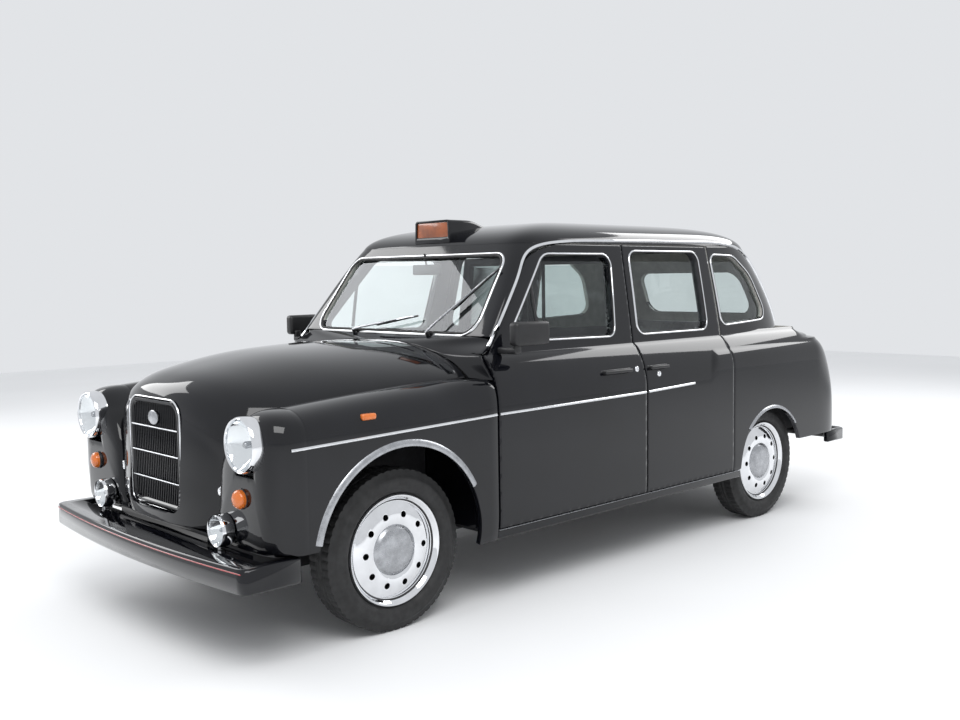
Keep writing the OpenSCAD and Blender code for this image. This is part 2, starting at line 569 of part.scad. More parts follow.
module kingpin(r) translate([kingpin_x, front_axle_y, 240]) cylinder(r = r, h = 240, $fn = 64);
module front_suspension() color(underbody) mirrored() {
    difference() {
        union() {
            box([388, front_axle_y - 50, 250], [kingpin_x - 10, front_axle_y + 50, 276]);
            box([388, front_axle_y - 35, 452], [kingpin_x - 10, front_axle_y + 35, 470]);
        }
        kingpin(kingpin_r + fit);
    }
    translate([460, front_axle_y, 276]) cylinder(r = 55, h = 176, $fn = 48);
}
module knuckle() color("#4b4e52") {
    kingpin(kingpin_r);
    translate([kingpin_x, front_axle_y, tyre_r]) rotate([0, 90, 0])
        cylinder(r = hub_bore / 2 - 0.05, h = wheel_x + 30 - kingpin_x, $fn = 64);
    box([kingpin_x - 28, front_axle_y, 300], [kingpin_x - 10, front_axle_y + 150, 318]);
}
module rear_axle() color(underbody) {
    translate([0, rear_axle_y, tyre_r]) rotate([0, 90, 0]) {
        cylinder(r = 42, h = 2 * (wheel_x - 100), center = true, $fn = 64);
        cylinder(r = hub_bore / 2 - 0.05, h = 2 * (wheel_x + 30), center = true, $fn = 64);
    }
    translate([0, rear_axle_y, tyre_r]) sphere(r = 125, $fn = 48);
    mirrored() {
        box([375, kick_y - 60, 262], [435, rear_axle_y + 560, 300]);
        box([375, rear_axle_y + 500, 300], [435, rear_axle_y + 545, 440]);
    }
}
module exhaust() color("#6b6e72") {
    translate([200, a_y - 40, 215]) rotate([-90, 0, 0]) cylinder(r = 24, h = tail_y - a_y + 20, $fn = 48);
    translate([200, 140, 215]) rotate([-90, 0, 0]) cylinder(r = 62, h = 440, $fn = 64);
    for (y = [110, 760]) box([190, y, 230], [210, y + 12, 318]);
}

// ---------- wheels ----------
module wheel(side) color(chrome) rotate([0, 90 * side, 0]) difference() {
    rotate_extrude($fn = 96) polygon([[0, -30], [60, -30], [60, 0], [150, 8], [190, 2], [196, -60],
        [212, -66], [rim_r + 14, -68], [rim_r + 14, -62], [rim_r - 1, -56], [rim_r - 1, 58],
        [rim_r + 14, 62], [rim_r + 14, 70], [rim_r - 6, 70], [190, 38], [150, 46], [120, 34], [70, 36],
        [62, 46], [0, 46]]);
    translate([0, 0, -60]) cylinder(r = hub_bore / 2, h = 92, $fn = 64);
}
module tyre(side) color("#1a1a1b") rotate([0, 90 * side, 0]) rotate_extrude($fn = 96) polygon(concat(
    [[rim_r, 6 - bead_half], [rim_r + 14.5, -bead_half], [rim_r + 16, -tyre_w * 0.42]],
    [for (w = [-80:20:-20]) [tyre_r - 62 + 60 * cos(w) * 0.97, tyre_w / 2 * sin(w) * 1.015]],
    [[tyre_r, -tyre_w * 0.2], [tyre_r, tyre_w * 0.2]],
    [for (w = [20:20:80]) [tyre_r - 62 + 60 * cos(w) * 0.97, tyre_w / 2 * sin(w) * 1.015]],
    [[rim_r + 16, tyre_w * 0.42], [rim_r + 14.5, bead_half], [rim_r, bead_half - 6]]));
module at_wheel(left, front)
    translate([(left ? 1 : -1) * wheel_x, front ? front_axle_y : rear_axle_y, tyre_r]) children();

// ---------- cabin fittings ----------
column_foot = [-370, a_y + 225, 930];
column_dir = [0, 0.9, 0.436];
column_tilt = -64.1;
column_len = 190;
module dashboard() color("#2b2a2c") {
    across([[a_y - 8.7, 840], [a_y + 200, 820], [a_y + 260, 900], [a_y + 255, 1040], [a_y + 160, 1085],
        [a_y + 40, 1090], [a_y - 8.7, 1000]], -680, 680);
    translate(column_foot) rotate([column_tilt, 0, 0]) cylinder(r = 32, h = column_len, $fn = 32);
}
module steering_wheel() color(black_trim)
translate(column_foot + (column_len + fit) * column_dir) rotate([column_tilt, 0, 0]) {
    translate([0, 0, 18]) rotate_extrude($fn = 96) translate([198, 0]) circle(r = 12, $fn = 24);
    cylinder(r = 48, h = 30, $fn = 48);
    for (w = [0, 120, 240]) rotate([0, 0, w]) translate([40, -12, 12]) cube([152, 24, 10]);
}
module driver_seat() color("#3a3a3d") {
    box([-590, -420, 338.3], [-170, 40, 440]);
    across([[-430, 440], [40, 440], [40, 545], [-400, 570], [-430, 555]], -610, -150);
    across([[-30, 572], [62, 572], [110, 1010], [40, 1030]], -600, -160);
}
module rear_seat() color("#3a3a3d") {
    box([-525, 1150, 498.3], [525, 1560, 620]);
    across([[1100, 620], [1600, 620], [1600, 720], [1130, 760], [1100, 740]], -528, 528);
    across([[1540, 764], [1640, 764], [1700, 1210], [1630, 1220]], -528, 528);
}
module partition() color("#2f3033") difference() {
    along([[-755, 338.3], [755, 338.3], [755, 1040], [672, 1160], [600, 1590], [-600, 1590],
        [-672, 1160], [-755, 1040]], b_line_y + 70, b_line_y + 90);
    along([[-590, 1120], [590, 1120], [545, 1550], [-545, 1550]], b_line_y, b_line_y + 200);
}
module tip_up_seats() color("#3a3a3d") mirrored()
    box([130, b_line_y + 90 + fit, 560], [560, b_line_y + 170, 1010]);

module wiper(x, turn) translate([x, cab_front(belt_z + 78) - 8, belt_z + 84]) rotate([-34, 0, 0])
    rotate([0, turn, 0]) {
    box([-9, -16, -9], [9, -4, 9]);
    box([-4, -16, 0], [4, -8, 230]);
    box([-3, -18, 170], [3, -2, 470]);
}
module wipers() color(black_trim) {
    wiper(332, 38);
    wiper(-261, 78);
}
module roof_sign() color("#1a1b1f") across(concat(
    [for (t = [0.06:0.05:0.42]) roof_spine(t) + [0, 1]],
    [[n_y + 1975, roof_h - 12], [n_y + 1850, roof_h + 3], [n_y + 1715, roof_h + 3],
        [n_y + 1693, roof_h - 12]]), -140, 140);
module mirror_head() color(black_trim) {
    hull() for (y = [a_y + 72, a_y + 240]) for (z = [1186, 1258])
        translate([912, y, z]) rotate([0, 90, 0]) cylinder(r = 18, h = 56, center = true, $fn = 24);
    box([belt_w + fit, a_y + 80, belt_z + 3], [900, a_y + 125, 1160]);
    box([870, a_y + 80, 1150], [900, a_y + 125, 1190]);
}

// ---------- assembly ----------
chassis_frame();
floor_pan();
roof_panel();
body_side();  // left_body_side
mirror([1, 0, 0]) body_side();  // right_body_side
rear_panel();
scuttle_panel();
front_wing();  // left_front_wing
mirror([1, 0, 0]) front_wing();  // right_front_wing
front_valance();
front_bumper();
rear_bumper();
headlamps();
fog_lamps();
indicators();
tail_lamps();
windscreen();
quarter_windows();
rear_window();
roof_sign();
dashboard();
driver_seat();
rear_seat();
tip_up_seats();
partition();
wipers();
engine_block();
front_suspension();
rear_axle();
exhaust();
fuel_tank();
bonnet();
radiator_grille();
boot_lid();
front_door();  // front_left_door
mirror([1, 0, 0]) front_door();  // front_right_door
rear_door();  // rear_left_door
mirror([1, 0, 0]) rear_door();  // rear_right_door
front_glass();  // front_left_glass
mirror([1, 0, 0]) front_glass();  // front_right_glass
rear_glass();  // rear_left_glass
mirror([1, 0, 0]) rear_glass();  // rear_right_glass
mirror_head();  // left_mirror
mirror([1, 0, 0]) mirror_head();  // right_mirror
at_wheel(true, true) wheel(1);  // front_left_wheel
at_wheel(false, true) wheel(-1);  // front_right_wheel
at_wheel(true, false) wheel(1);  // rear_left_wheel
at_wheel(false, false) wheel(-1);  // rear_right_wheel
at_wheel(true, true) tyre(1);  // front_left_tyre
at_wheel(false, true) tyre(-1);  // front_right_tyre
at_wheel(true, false) tyre(1);  // rear_left_tyre
at_wheel(false, false) tyre(-1);  // rear_right_tyre
knuckle();  // left_knuckle
mirror([1, 0, 0]) knuckle();  // right_knuckle
steering_wheel();
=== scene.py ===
"""Looks of the taxi cab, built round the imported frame. Shape functions work in millimetres in the
frame's own axes: the front faces -Y, the cab's left is +X, the ground is z = 0."""
import math

import bmesh
import bpy
import numpy as np
from mathutils import Matrix, Vector
from mathutils.bvhtree import BVHTree


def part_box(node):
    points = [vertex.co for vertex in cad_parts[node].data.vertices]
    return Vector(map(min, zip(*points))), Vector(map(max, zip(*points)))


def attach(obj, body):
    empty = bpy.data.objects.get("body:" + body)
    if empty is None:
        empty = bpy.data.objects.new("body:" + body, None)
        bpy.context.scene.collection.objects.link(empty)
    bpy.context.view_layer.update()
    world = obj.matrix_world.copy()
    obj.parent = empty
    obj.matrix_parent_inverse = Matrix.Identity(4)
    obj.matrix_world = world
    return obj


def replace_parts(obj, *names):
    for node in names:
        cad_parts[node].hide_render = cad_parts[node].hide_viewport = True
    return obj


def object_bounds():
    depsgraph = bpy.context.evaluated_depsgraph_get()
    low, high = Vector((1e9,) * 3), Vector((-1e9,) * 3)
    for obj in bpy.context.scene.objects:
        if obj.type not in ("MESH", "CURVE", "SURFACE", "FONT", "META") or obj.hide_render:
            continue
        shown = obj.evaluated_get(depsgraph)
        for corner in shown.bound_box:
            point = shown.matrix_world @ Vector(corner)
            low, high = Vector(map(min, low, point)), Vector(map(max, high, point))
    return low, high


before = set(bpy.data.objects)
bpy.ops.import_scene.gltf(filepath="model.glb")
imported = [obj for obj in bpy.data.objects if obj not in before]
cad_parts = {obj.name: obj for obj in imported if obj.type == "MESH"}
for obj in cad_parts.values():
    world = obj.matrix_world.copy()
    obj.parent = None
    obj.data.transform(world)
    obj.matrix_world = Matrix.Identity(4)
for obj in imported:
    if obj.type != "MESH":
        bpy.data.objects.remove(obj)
cad_low, cad_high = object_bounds()

# ---------- driving sizes, from the frame ----------
MM = 0.001
GAP = 8.0
DOOR_T = 48.0
PANEL_T = 26.0
HALF_W = round(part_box("left_body_side")[1].x / MM)
NOSE_Y = cad_low.y / MM
DOOR_Y = round(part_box("front_left_door")[0].y / MM - GAP / 2)
REAR_Y = round(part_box("rear_left_door")[1].y / MM + GAP / 2)
TYRE_LOW, TYRE_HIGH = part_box("front_left_tyre")
TYRE_R = (TYRE_HIGH.z - TYRE_LOW.z) / 2 / MM
TYRE_W = (TYRE_HIGH.x - TYRE_LOW.x) / MM
WHEEL_X = (TYRE_LOW.x + TYRE_HIGH.x) / 2 / MM
FRONT_AXLE = (TYRE_LOW.y + TYRE_HIGH.y) / 2 / MM
REAR_AXLE = sum(p.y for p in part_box("rear_left_tyre")) / 2 / MM
ROOF_H = 1775.0
B_LINE = DOOR_Y + 1060
BELT, RAIL = 1125.0, 1640.0
BELT_W, RAIL_W = 772.0, 668.0
SILL = 352.0
TAIL_Y = 2231.0
ROUND_Y = TAIL_Y - 531
MID_Y = (DOOR_Y + ROUND_Y) / 2 + 110
HAUNCH, DECK = BELT - 48, BELT + 25
SHOULDER = HALF_W - BELT_W
LID_W, LID_Y = 540.0, TAIL_Y - 373
LAMP = (692.0, NOSE_Y + 172, 856.0)


# ---------- curves ----------
def mix(a, b, t):
    return a + (b - a) * t


def ramp(a, b, x):
    t = max(0.0, min(1.0, (x - a) / (b - a)))
    return t * t * (3 - 2 * t)


def pw(a, b):
    return max(a, 0.0) ** b


def steps(a, b, n):
    return [mix(a, b, k / n) for k in range(n + 1)]


def spline(points, t):
    n = len(points) - 1
    i = min(n - 1, max(0, math.floor(t)))
    f = t - i
    a, b = np.array(points[max(0, i - 1)], float), np.array(points[i], float)
    c, d = np.array(points[i + 1], float), np.array(points[min(n, i + 2)], float)
    return 0.5 * (2 * b + (c - a) * f + (2 * a - 5 * b + 4 * c - d) * f * f
                  + (3 * b - a - 3 * c + d) * f ** 3)


def round_poly(corners, radii, n=8):
    """Outline with its corners rounded, as a list of 2-D points."""
    out, m = [], len(corners)
    for i, r in enumerate(radii):
        a = np.array(corners[i], float)
        u = np.array(corners[i - 1], float) - a
        v = np.array(corners[(i + 1) % m], float) - a
        u, v = u / np.linalg.norm(u), v / np.linalg.norm(v)
        half = math.acos(max(-1, min(1, u @ v))) / 2
        centre = a + (u + v) / np.linalg.norm(u + v) * r / math.sin(half)
        start = a + u * r / math.tan(half) - centre
        turn = -math.copysign(math.pi - 2 * half, u[0] * v[1] - u[1] * v[0])
        for k in range(n + 1):
            c, s = math.cos(turn * k / n), math.sin(turn * k / n)
            out.append(centre + np.array([start[0] * c - start[1] * s, start[0] * s + start[1] * c]))
    return out


def grow(outline, d):
    """The outline moved outwards by d."""
    p = np.array(outline, float)
    area = np.sum(p[:, 0] * np.roll(p[:, 1], -1) - np.roll(p[:, 0], -1) * p[:, 1])
    tangent = np.roll(p, -1, 0) - np.roll(p, 1, 0)
    tangent /= np.maximum(np.linalg.norm(tangent, axis=1)[:, None], 1e-9)
    normal = np.stack([tangent[:, 1], -tangent[:, 0]], 1) * math.copysign(1, area)
    return p + normal * d


def resample(points, gap, closed=False):
    """Points an even distance of about gap apart along a polyline."""
    p = np.array(points, float)
    if closed:
        p = np.vstack([p, p[:1]])
    run = np.concatenate([[0], np.cumsum(np.linalg.norm(np.diff(p, axis=0), axis=1))])
    n = max(2, int(round(run[-1] / gap)))
    at = np.linspace(0, run[-1], n + 1)
    out = np.stack([np.interp(at, run, p[:, k]) for k in range(p.shape[1])], 1)
    return out[:-1] if closed else out


# ---------- the cab's surfaces ----------
def belt_frac(z):
    return pw((z - BELT) / (RAIL - BELT), 1)


def cab_half(z):
    return BELT_W - (BELT_W - RAIL_W) * belt_frac(z) ** 1.15


def cab_front(z):
    return DOOR_Y + 5 + 0.679 * (z - BELT)


def cab_reach(z, ahead):
    rear = ROUND_Y + 135 - 295 * belt_frac(z) ** 1.6
    return MID_Y - cab_front(z) if ahead else rear - MID_Y


def cab_power(z, ahead):
    return mix(56, 14, min(1, belt_frac(z))) if ahead else 5


def cab_point(a, z, e=0.0):
    """Point of the cabin at height z: bearing -90 is the front, 0 the left and 90 the rear."""
    ahead = a < 0
    n = cab_power(z, ahead)
    c, s = math.cos(math.radians(a)), math.sin(math.radians(a))
    r = (pw(abs(c), n) + pw(abs(s), n)) ** (-1 / n)
    return np.array([(cab_half(z) - e) * r * c, MID_Y + (cab_reach(z, ahead) - e) * r * s, z])


def cab_bearing(y, z):
    ahead = y < MID_Y
    n = cab_power(z, ahead)
    f = min(0.985, abs(y - MID_Y) / cab_reach(z, ahead))
    return (-1 if ahead else 1) * math.degrees(math.atan2(f, (1 - f ** n) ** (1 / n)))


def roof_point(a, t):
    p0, p1 = cab_point(a, RAIL), cab_point(a, RAIL + 0.8 * (ROOF_H - RAIL))
    mid = np.array([0, MID_Y, ROOF_H])
    p2 = np.array([mid[0] + 0.62 * (p0[0] - mid[0]), mid[1] + 0.62 * (p0[1] - mid[1]), mid[2]])
    u = 1 - t
    return u ** 3 * p0 + 3 * u * u * t * p1 + 3 * u * t * t * p2 + t ** 3 * mid


def low_tuck(z):
    return 12 * pw((430 - z) / 130, 2)


def door_inset(z):
    t = max(0.0, min(1.0, (z - BELT + 255) / 255))
    return SHOULDER * (1 - (1 - t ** 2.2) ** 0.75) + low_tuck(z)


def haunch_top(y):
    return mix(BELT - 250, HAUNCH, ramp(REAR_Y - 390, REAR_Y - 140, y))


def haunch_inset(y, z):
    t = (z - haunch_top(y) + 165) / 165
    if t >= 1:
        return HALF_W
    return SHOULDER * (1 - (1 - max(t, 0) ** 3) ** 0.5) + low_tuck(z)


def side_x(y, z):
    if z > BELT:
        return cab_point(cab_bearing(y, z), z)[0]
    return HALF_W - min(door_inset(z), haunch_inset(y, z))


def door_edge(z):
    if z < BELT:
        return DOOR_Y
    return DOOR_Y + 33 + 0.784 * (z - BELT - 2) + 190 * pw((z - RAIL + 100) / 100, 2.5)


def b_line(z):
    return B_LINE + 4 * (z - SILL) / 770 + 30 * pw((z - BELT) / 515, 1.4)


def tail_k(a, z):
    side_k = 1 - min(door_inset(min(z, BELT)), haunch_inset(ROUND_Y, min(z, BELT))) / HALF_W
    flat_k = (1 - SHOULDER / HALF_W) * math.sqrt(pw(1 - pw((z - HAUNCH) / (DECK - HAUNCH), 2), 1))
    flank = side_k if z < HAUNCH else mix(side_k, flat_k, ramp(0, 25, a))
    back = pw(1 - pw((z - 520) / (DECK - 520), 2.6), 1) ** (1 / 2.6)
    return mix(flank, back, ramp(15, 70, a))


def tail_point(a, z):
    c, s = math.cos(math.radians(a)), math.sin(math.radians(a))
    k = tail_k(a, z) * (c ** 5.5 + pw(s, 5.5)) ** (-1 / 5.5)
    return np.array([HALF_W * k * c, ROUND_Y + (TAIL_Y - ROUND_Y) * k * s, z])


SPINE = [[0, DOOR_Y - 35, BELT + 55], [0, DOOR_Y - 310, BELT + 53], [0, DOOR_Y - 690, BELT + 33],
         [0, NOSE_Y + 340, BELT - 17], [0, NOSE_Y + 205, BELT - 62], [0, NOSE_Y + 146, BELT - 118],
         [0, NOSE_Y + 132, BELT - 225], [0, NOSE_Y + 122, BELT - 425], [0, NOSE_Y + 112, BELT - 565],
         [0, NOSE_Y + 114, BELT - 647]]
VALLEY = [[700, DOOR_Y - 45, BELT - 100], [692, DOOR_Y - 240, BELT - 107],
          [655, DOOR_Y - 600, BELT - 140], [600, NOSE_Y + 460, BELT - 180],
          [540, NOSE_Y + 305, BELT - 235], [485, NOSE_Y + 240, BELT - 310],
          [450, NOSE_Y + 218, BELT - 385], [438, NOSE_Y + 212, BELT - 485],
          [425, NOSE_Y + 208, BELT - 575], [405, NOSE_Y + 204, BELT - 647]]


def bonnet_point(u, v):
    c, e = spline(SPINE, v), spline(VALLEY, v)
    g = 1 - (1 - abs(u) ** 2.4) ** 0.75
    return np.array([e[0] * u, mix(c[1], e[1], g), mix(c[2], e[2], g)])


def scuttle_point(u, t):
    front = bonnet_point(u, 0) + np.array([60 * (u - 0.9) if u > 0.9 else 0, GAP, 0])
    back = spline([[0, cab_front(BELT + 80), BELT + 80], [330, cab_front(BELT + 80), BELT + 80],
                   [640, cab_front(BELT + 78), BELT + 78], [746, DOOR_Y + 70, BELT + 58],
                   [BELT_W - 3, DOOR_Y - 8, BELT - 5], [HALF_W - 28, DOOR_Y - 8, BELT - 105]], 5 * u)
    return mix(front, back, t)


WING_LOW = 436.0
NOSE_V = 3.8


def wing_section(v, low):
    e = spline(VALLEY, v) + np.array([GAP, 0, -6])
    y = DOOR_Y - 8 if v == 0 else e[1]
    xc = mix(692, 800, ramp(DOOR_Y - 340, DOOR_Y - 8, y))
    zc = BELT - 94 - 59 * pw((DOOR_Y - 145 - y) / 988, 1.5) - 9 * ramp(DOOR_Y - 145, DOOR_Y - 8, y)
    zs = BELT - 265
    out = [[mix(e[0], xc, t), y, mix(e[2], zc, math.sin(math.pi / 2 * t))] for t in steps(0, 1, 10)[:-1]]
    for w in steps(0, math.pi / 2, 20):
        out.append([xc + (HALF_W - xc) * math.sin(w) ** 0.8, y, zs + (zc - zs) * pw(math.cos(w), 0.8)])
    out += [[HALF_W - low_tuck(z), y, z] for z in steps(zs, low, 16)[1:]]
    return np.array(out)


def wing_rim():
    shift = np.array([GAP, 0, -6])
    inner = [spline(VALLEY, v) + shift for v in steps(NOSE_V, 8.8, 20)[1:]]
    low = [[415, NOSE_Y + 206], [560, NOSE_Y + 195], [720, NOSE_Y + 197], [805, NOSE_Y + 218]]
    foot = [np.array([*spline(low, t), WING_LOW]) for t in steps(0, 3, 12)]
    return np.array(inner + foot + list(wing_section(NOSE_V, WING_LOW)[::-1]))


# ---------- outlines of the openings: [y, z] at the sides, [x, z] at the ends ----------
FRONT_WINDOW = round_poly([[DOOR_Y + 170, BELT + 62], [B_LINE - 142, BELT + 50],
                           [B_LINE - 78, RAIL - 60], [DOOR_Y + 490, RAIL - 60]], [40, 46, 50, 90])
REAR_WINDOW = round_poly([[B_LINE + 58, BELT + 50], [REAR_Y - 125, BELT + 50],
                          [REAR_Y - 108, RAIL - 42], [B_LINE + 90, RAIL - 42]], [50, 50, 50, 50])
QUARTER = round_poly([[REAR_Y + 34, BELT + 66], [REAR_Y + 560, BELT + 86], [REAR_Y + 440, RAIL - 170],
                      [REAR_Y + 280, RAIL - 62], [REAR_Y + 30, RAIL - 56]], [46, 60, 200, 120, 46])
SCREEN = round_poly([[-632, BELT + 94], [632, BELT + 94], [594, RAIL - 62], [-594, RAIL - 62]],
                    [70, 70, 60, 60])
BACKLIGHT = round_poly([[-430, BELT + 92], [430, BELT + 92], [400, RAIL - 150], [-400, RAIL - 150]],
                       [80, 80, 90, 90])
GRILLE = round_poly([[-226, 524], [226, 524], [226, 986], [-226, 986]], [48, 48, 75, 75])


# ---------- materials ----------
def material(name, colour, metallic=0.0, roughness=0.4, coat=0.0, spread=0.15, grain=8.0, bump=0.0,
             bump_scale=200.0, wear=0.08, specular=0.5, sheen=0.0, transmission=0.0, ior=1.5):
    """Principled material whose colour and roughness vary with noise, with a fine bump."""
    made = bpy.data.materials.new(name)
    made.use_nodes = True
    nodes, links = made.node_tree.nodes, made.node_tree.links
    shader = nodes["Principled BSDF"]
    place = nodes.new("ShaderNodeTexCoord")

    def noise(scale, detail=4.0):
        node = nodes.new("ShaderNodeTexNoise")
        node.inputs["Scale"].default_value = scale
        node.inputs["Detail"].default_value = detail
        links.new(place.outputs["Object"], node.inputs["Vector"])
        return node.outputs["Fac"]

    tint = nodes.new("ShaderNodeValToRGB")
    dark = [max(0.0, c * (1 - spread)) for c in colour]
    light = [min(1.0, c * (1 + spread) + 0.002 * spread) for c in colour]
    tint.color_ramp.elements[0].position, tint.color_ramp.elements[1].position = 0.3, 0.7
    tint.color_ramp.elements[0].color = (*dark, 1)
    tint.color_ramp.elements[1].color = (*light, 1)
    links.new(noise(grain), tint.inputs["Fac"])
    links.new(tint.outputs["Color"], shader.inputs["Base Color"])
    rough = nodes.new("ShaderNodeMapRange")
    rough.inputs["From Min"].default_value, rough.inputs["From Max"].default_value = 0.3, 0.75
    rough.inputs["To Min"].default_value = max(0.0, roughness - wear)
    rough.inputs["To Max"].default_value = min(1.0, roughness + wear)
    links.new(noise(grain * 2.3, 6.0), rough.inputs["Value"])
    links.new(rough.outputs["Result"], shader.inputs["Roughness"])
    if bump:
        relief = nodes.new("ShaderNodeBump")
        relief.inputs["Strength"].default_value = bump
        relief.inputs["Distance"].default_value = 0.001
        links.new(noise(bump_scale, 3.0), relief.inputs["Height"])
        links.new(relief.outputs["Normal"], shader.inputs["Normal"])
    for socket, value in (("Metallic", metallic), ("Coat Weight", coat), ("Coat Roughness", 0.02),
                          ("Specular IOR Level", specular), ("Sheen Weight", sheen),
                          ("Transmission Weight", transmission), ("IOR", ior)):
        shader.inputs[socket].default_value = value
    return made


def weave(made, scale, strength):
    """Adds crossed bands to a material as a woven or pleated relief."""
    nodes, links = made.node_tree.nodes, made.node_tree.links
    place = nodes.new("ShaderNodeTexCoord")
    relief = nodes.new("ShaderNodeBump")
    relief.inputs["Strength"].default_value, relief.inputs["Distance"].default_value = strength, 0.0006
    total = nodes.new("ShaderNodeMath")
    total.operation = "ADD"
    for k, way in enumerate(("X", "Z")):
        band = nodes.new("ShaderNodeTexWave")
        band.bands_direction = way
        band.inputs["Scale"].default_value = scale
        band.inputs["Distortion"].default_value = 0.6
        links.new(place.outputs["Object"], band.inputs["Vector"])
        links.new(band.outputs["Fac"], total.inputs[k])
    links.new(total.outputs[0], relief.inputs["Height"])
    links.new(relief.outputs["Normal"], nodes["Principled BSDF"].inputs["Normal"])
    return made


def clear_glass(name, colour, fade, haze=0.004):
    """Thin glass: a tinted see-through layer under a Fresnel reflection, with faint dust."""
    made = bpy.data.materials.new(name)
    made.use_nodes = True
    nodes, links = made.node_tree.nodes, made.node_tree.links
    nodes.remove(nodes["Principled BSDF"])
    out = nodes["Material Output"]
    clear, gloss, dust = (nodes.new("ShaderNodeBsdf" + k) for k in ("Transparent", "Glossy", "Diffuse"))
    gloss.inputs["Roughness"].default_value = haze
    gloss.inputs["Color"].default_value = (0.95, 0.97, 1, 1)
    dust.inputs["Color"].default_value = (0.5, 0.5, 0.48, 1)
    place, grime = nodes.new("ShaderNodeTexCoord"), nodes.new("ShaderNodeTexNoise")
    grime.inputs["Scale"].default_value = 6.0
    links.new(place.outputs["Object"], grime.inputs["Vector"])
    tint = nodes.new("ShaderNodeValToRGB")
    tint.color_ramp.elements[0].color = (*[c * 0.94 for c in colour], 1)
    tint.color_ramp.elements[1].color = (*colour, 1)
    links.new(grime.outputs["Fac"], tint.inputs["Fac"])
    links.new(tint.outputs["Color"], clear.inputs["Color"])
    speck = nodes.new("ShaderNodeMapRange")
    speck.inputs["From Min"].default_value, speck.inputs["From Max"].default_value = 0.5, 0.8
    speck.inputs["To Max"].default_value = fade
    links.new(grime.outputs["Fac"], speck.inputs["Value"])
    veil, top = nodes.new("ShaderNodeMixShader"), nodes.new("ShaderNodeMixShader")
    links.new(speck.outputs["Result"], veil.inputs["Fac"])
    links.new(clear.outputs[0], veil.inputs[1])
    links.new(dust.outputs[0], veil.inputs[2])
    facing = nodes.new("ShaderNodeFresnel")
    facing.inputs["IOR"].default_value = 1.5
    outer, share = nodes.new("ShaderNodeNewGeometry"), nodes.new("ShaderNodeMix")
    links.new(outer.outputs["Backfacing"], share.inputs["Factor"])
    links.new(facing.outputs[0], share.inputs["A"])
    share.inputs["B"].default_value = 0.0
    links.new(share.outputs["Result"], top.inputs["Fac"])
    links.new(veil.outputs[0], top.inputs[1])
    links.new(gloss.outputs[0], top.inputs[2])
    links.new(top.outputs[0], out.inputs["Surface"])
    return made


PAINT = material("gloss_black_paint", (0.0035, 0.0038, 0.0055), roughness=0.06, coat=0.3, spread=0.3,
                 grain=3, wear=0.025, bump=0.02, bump_scale=420, specular=0.3)
UNDER = material("underbody_paint", (0.016, 0.016, 0.018), roughness=0.55, spread=0.5, grain=14,
                 wear=0.15, bump=0.5, bump_scale=90)
CHROME = material("bright_chrome", (0.80, 0.81, 0.83), metallic=1, roughness=0.06, spread=0.05,
                  grain=20, wear=0.035, bump=0.015, bump_scale=300)
SATIN = material("satin_steel", (0.42, 0.43, 0.45), metallic=1, roughness=0.3, spread=0.15, grain=30,
                 wear=0.1, bump=0.08, bump_scale=500)
BLACK = material("black_moulding", (0.012, 0.012, 0.013), roughness=0.42, spread=0.25, grain=12,
                 wear=0.08, bump=0.25, bump_scale=900)
RUBBER = material("seal_rubber", (0.009, 0.009, 0.009), roughness=0.6, spread=0.3, grain=25, wear=0.1,
                  bump=0.2, bump_scale=600)
TYRE = material("tyre_rubber", (0.014, 0.014, 0.0145), roughness=0.68, spread=0.35, grain=18, wear=0.1,
                bump=0.35, bump_scale=450)
AMBER = material("amber_lens", (0.62, 0.15, 0.02), roughness=0.12, coat=0.6, spread=0.12, grain=30,
                 wear=0.04, bump=0.25, bump_scale=260)
RED = material("red_lens", (0.40, 0.012, 0.01), roughness=0.12, coat=0.6, spread=0.15, grain=30,
               wear=0.04, bump=0.25, bump_scale=260)
SIGN = material("sign_lens", (0.30, 0.075, 0.018), roughness=0.22, coat=0.5, spread=0.3, grain=16,
                wear=0.06, bump=0.12, bump_scale=150)
MIRROR = material("mirror_glass", (0.9, 0.92, 0.94), metallic=1, roughness=0.03, spread=0.02, wear=0.01)
TRIM = material("trim_vinyl", (0.045, 0.045, 0.05), roughness=0.5, spread=0.2, grain=20, wear=0.08,
                bump=0.5, bump_scale=700)
LINING = material("head_lining", (0.42, 0.41, 0.38), roughness=0.85, spread=0.12, grain=24, wear=0.05,
                  bump=0.5, bump_scale=900, sheen=0.2)
CARPET = material("floor_carpet", (0.03, 0.03, 0.034), roughness=0.95, spread=0.6, grain=160,
                  wear=0.03, bump=0.9, bump_scale=1200, sheen=0.3)
CLOTH = weave(material("seat_cloth", (0.055, 0.06, 0.075), roughness=0.85, spread=0.35, grain=90,
                       wear=0.05, sheen=0.35), 220, 0.5)
HIDE = material("seat_hide", (0.06, 0.058, 0.06), roughness=0.48, spread=0.25, grain=14, wear=0.1,
                bump=0.6, bump_scale=380)
IRON = material("engine_iron", (0.12, 0.12, 0.125), metallic=0.6, roughness=0.6, spread=0.5, grain=18,
                wear=0.15, bump=0.9, bump_scale=120)
PIPE = material("exhaust_steel", (0.22, 0.19, 0.16), metallic=0.9, roughness=0.45, spread=0.5,
                grain=12, wear=0.18, bump=0.3, bump_scale=200)
PLATE = material("blank_plate", (0.75, 0.55, 0.05), roughness=0.35, spread=0.06, grain=10, wear=0.06,
                 bump=0.05)
RED_LINE = material("red_pinstripe", (0.32, 0.02, 0.02), roughness=0.25, coat=0.5, spread=0.2,
                    grain=30, wear=0.05)
GLASS = clear_glass("window_glass", (0.93, 0.96, 0.955), 0.03)
LENS = clear_glass("lamp_glass", (0.96, 0.97, 0.97), 0.02)


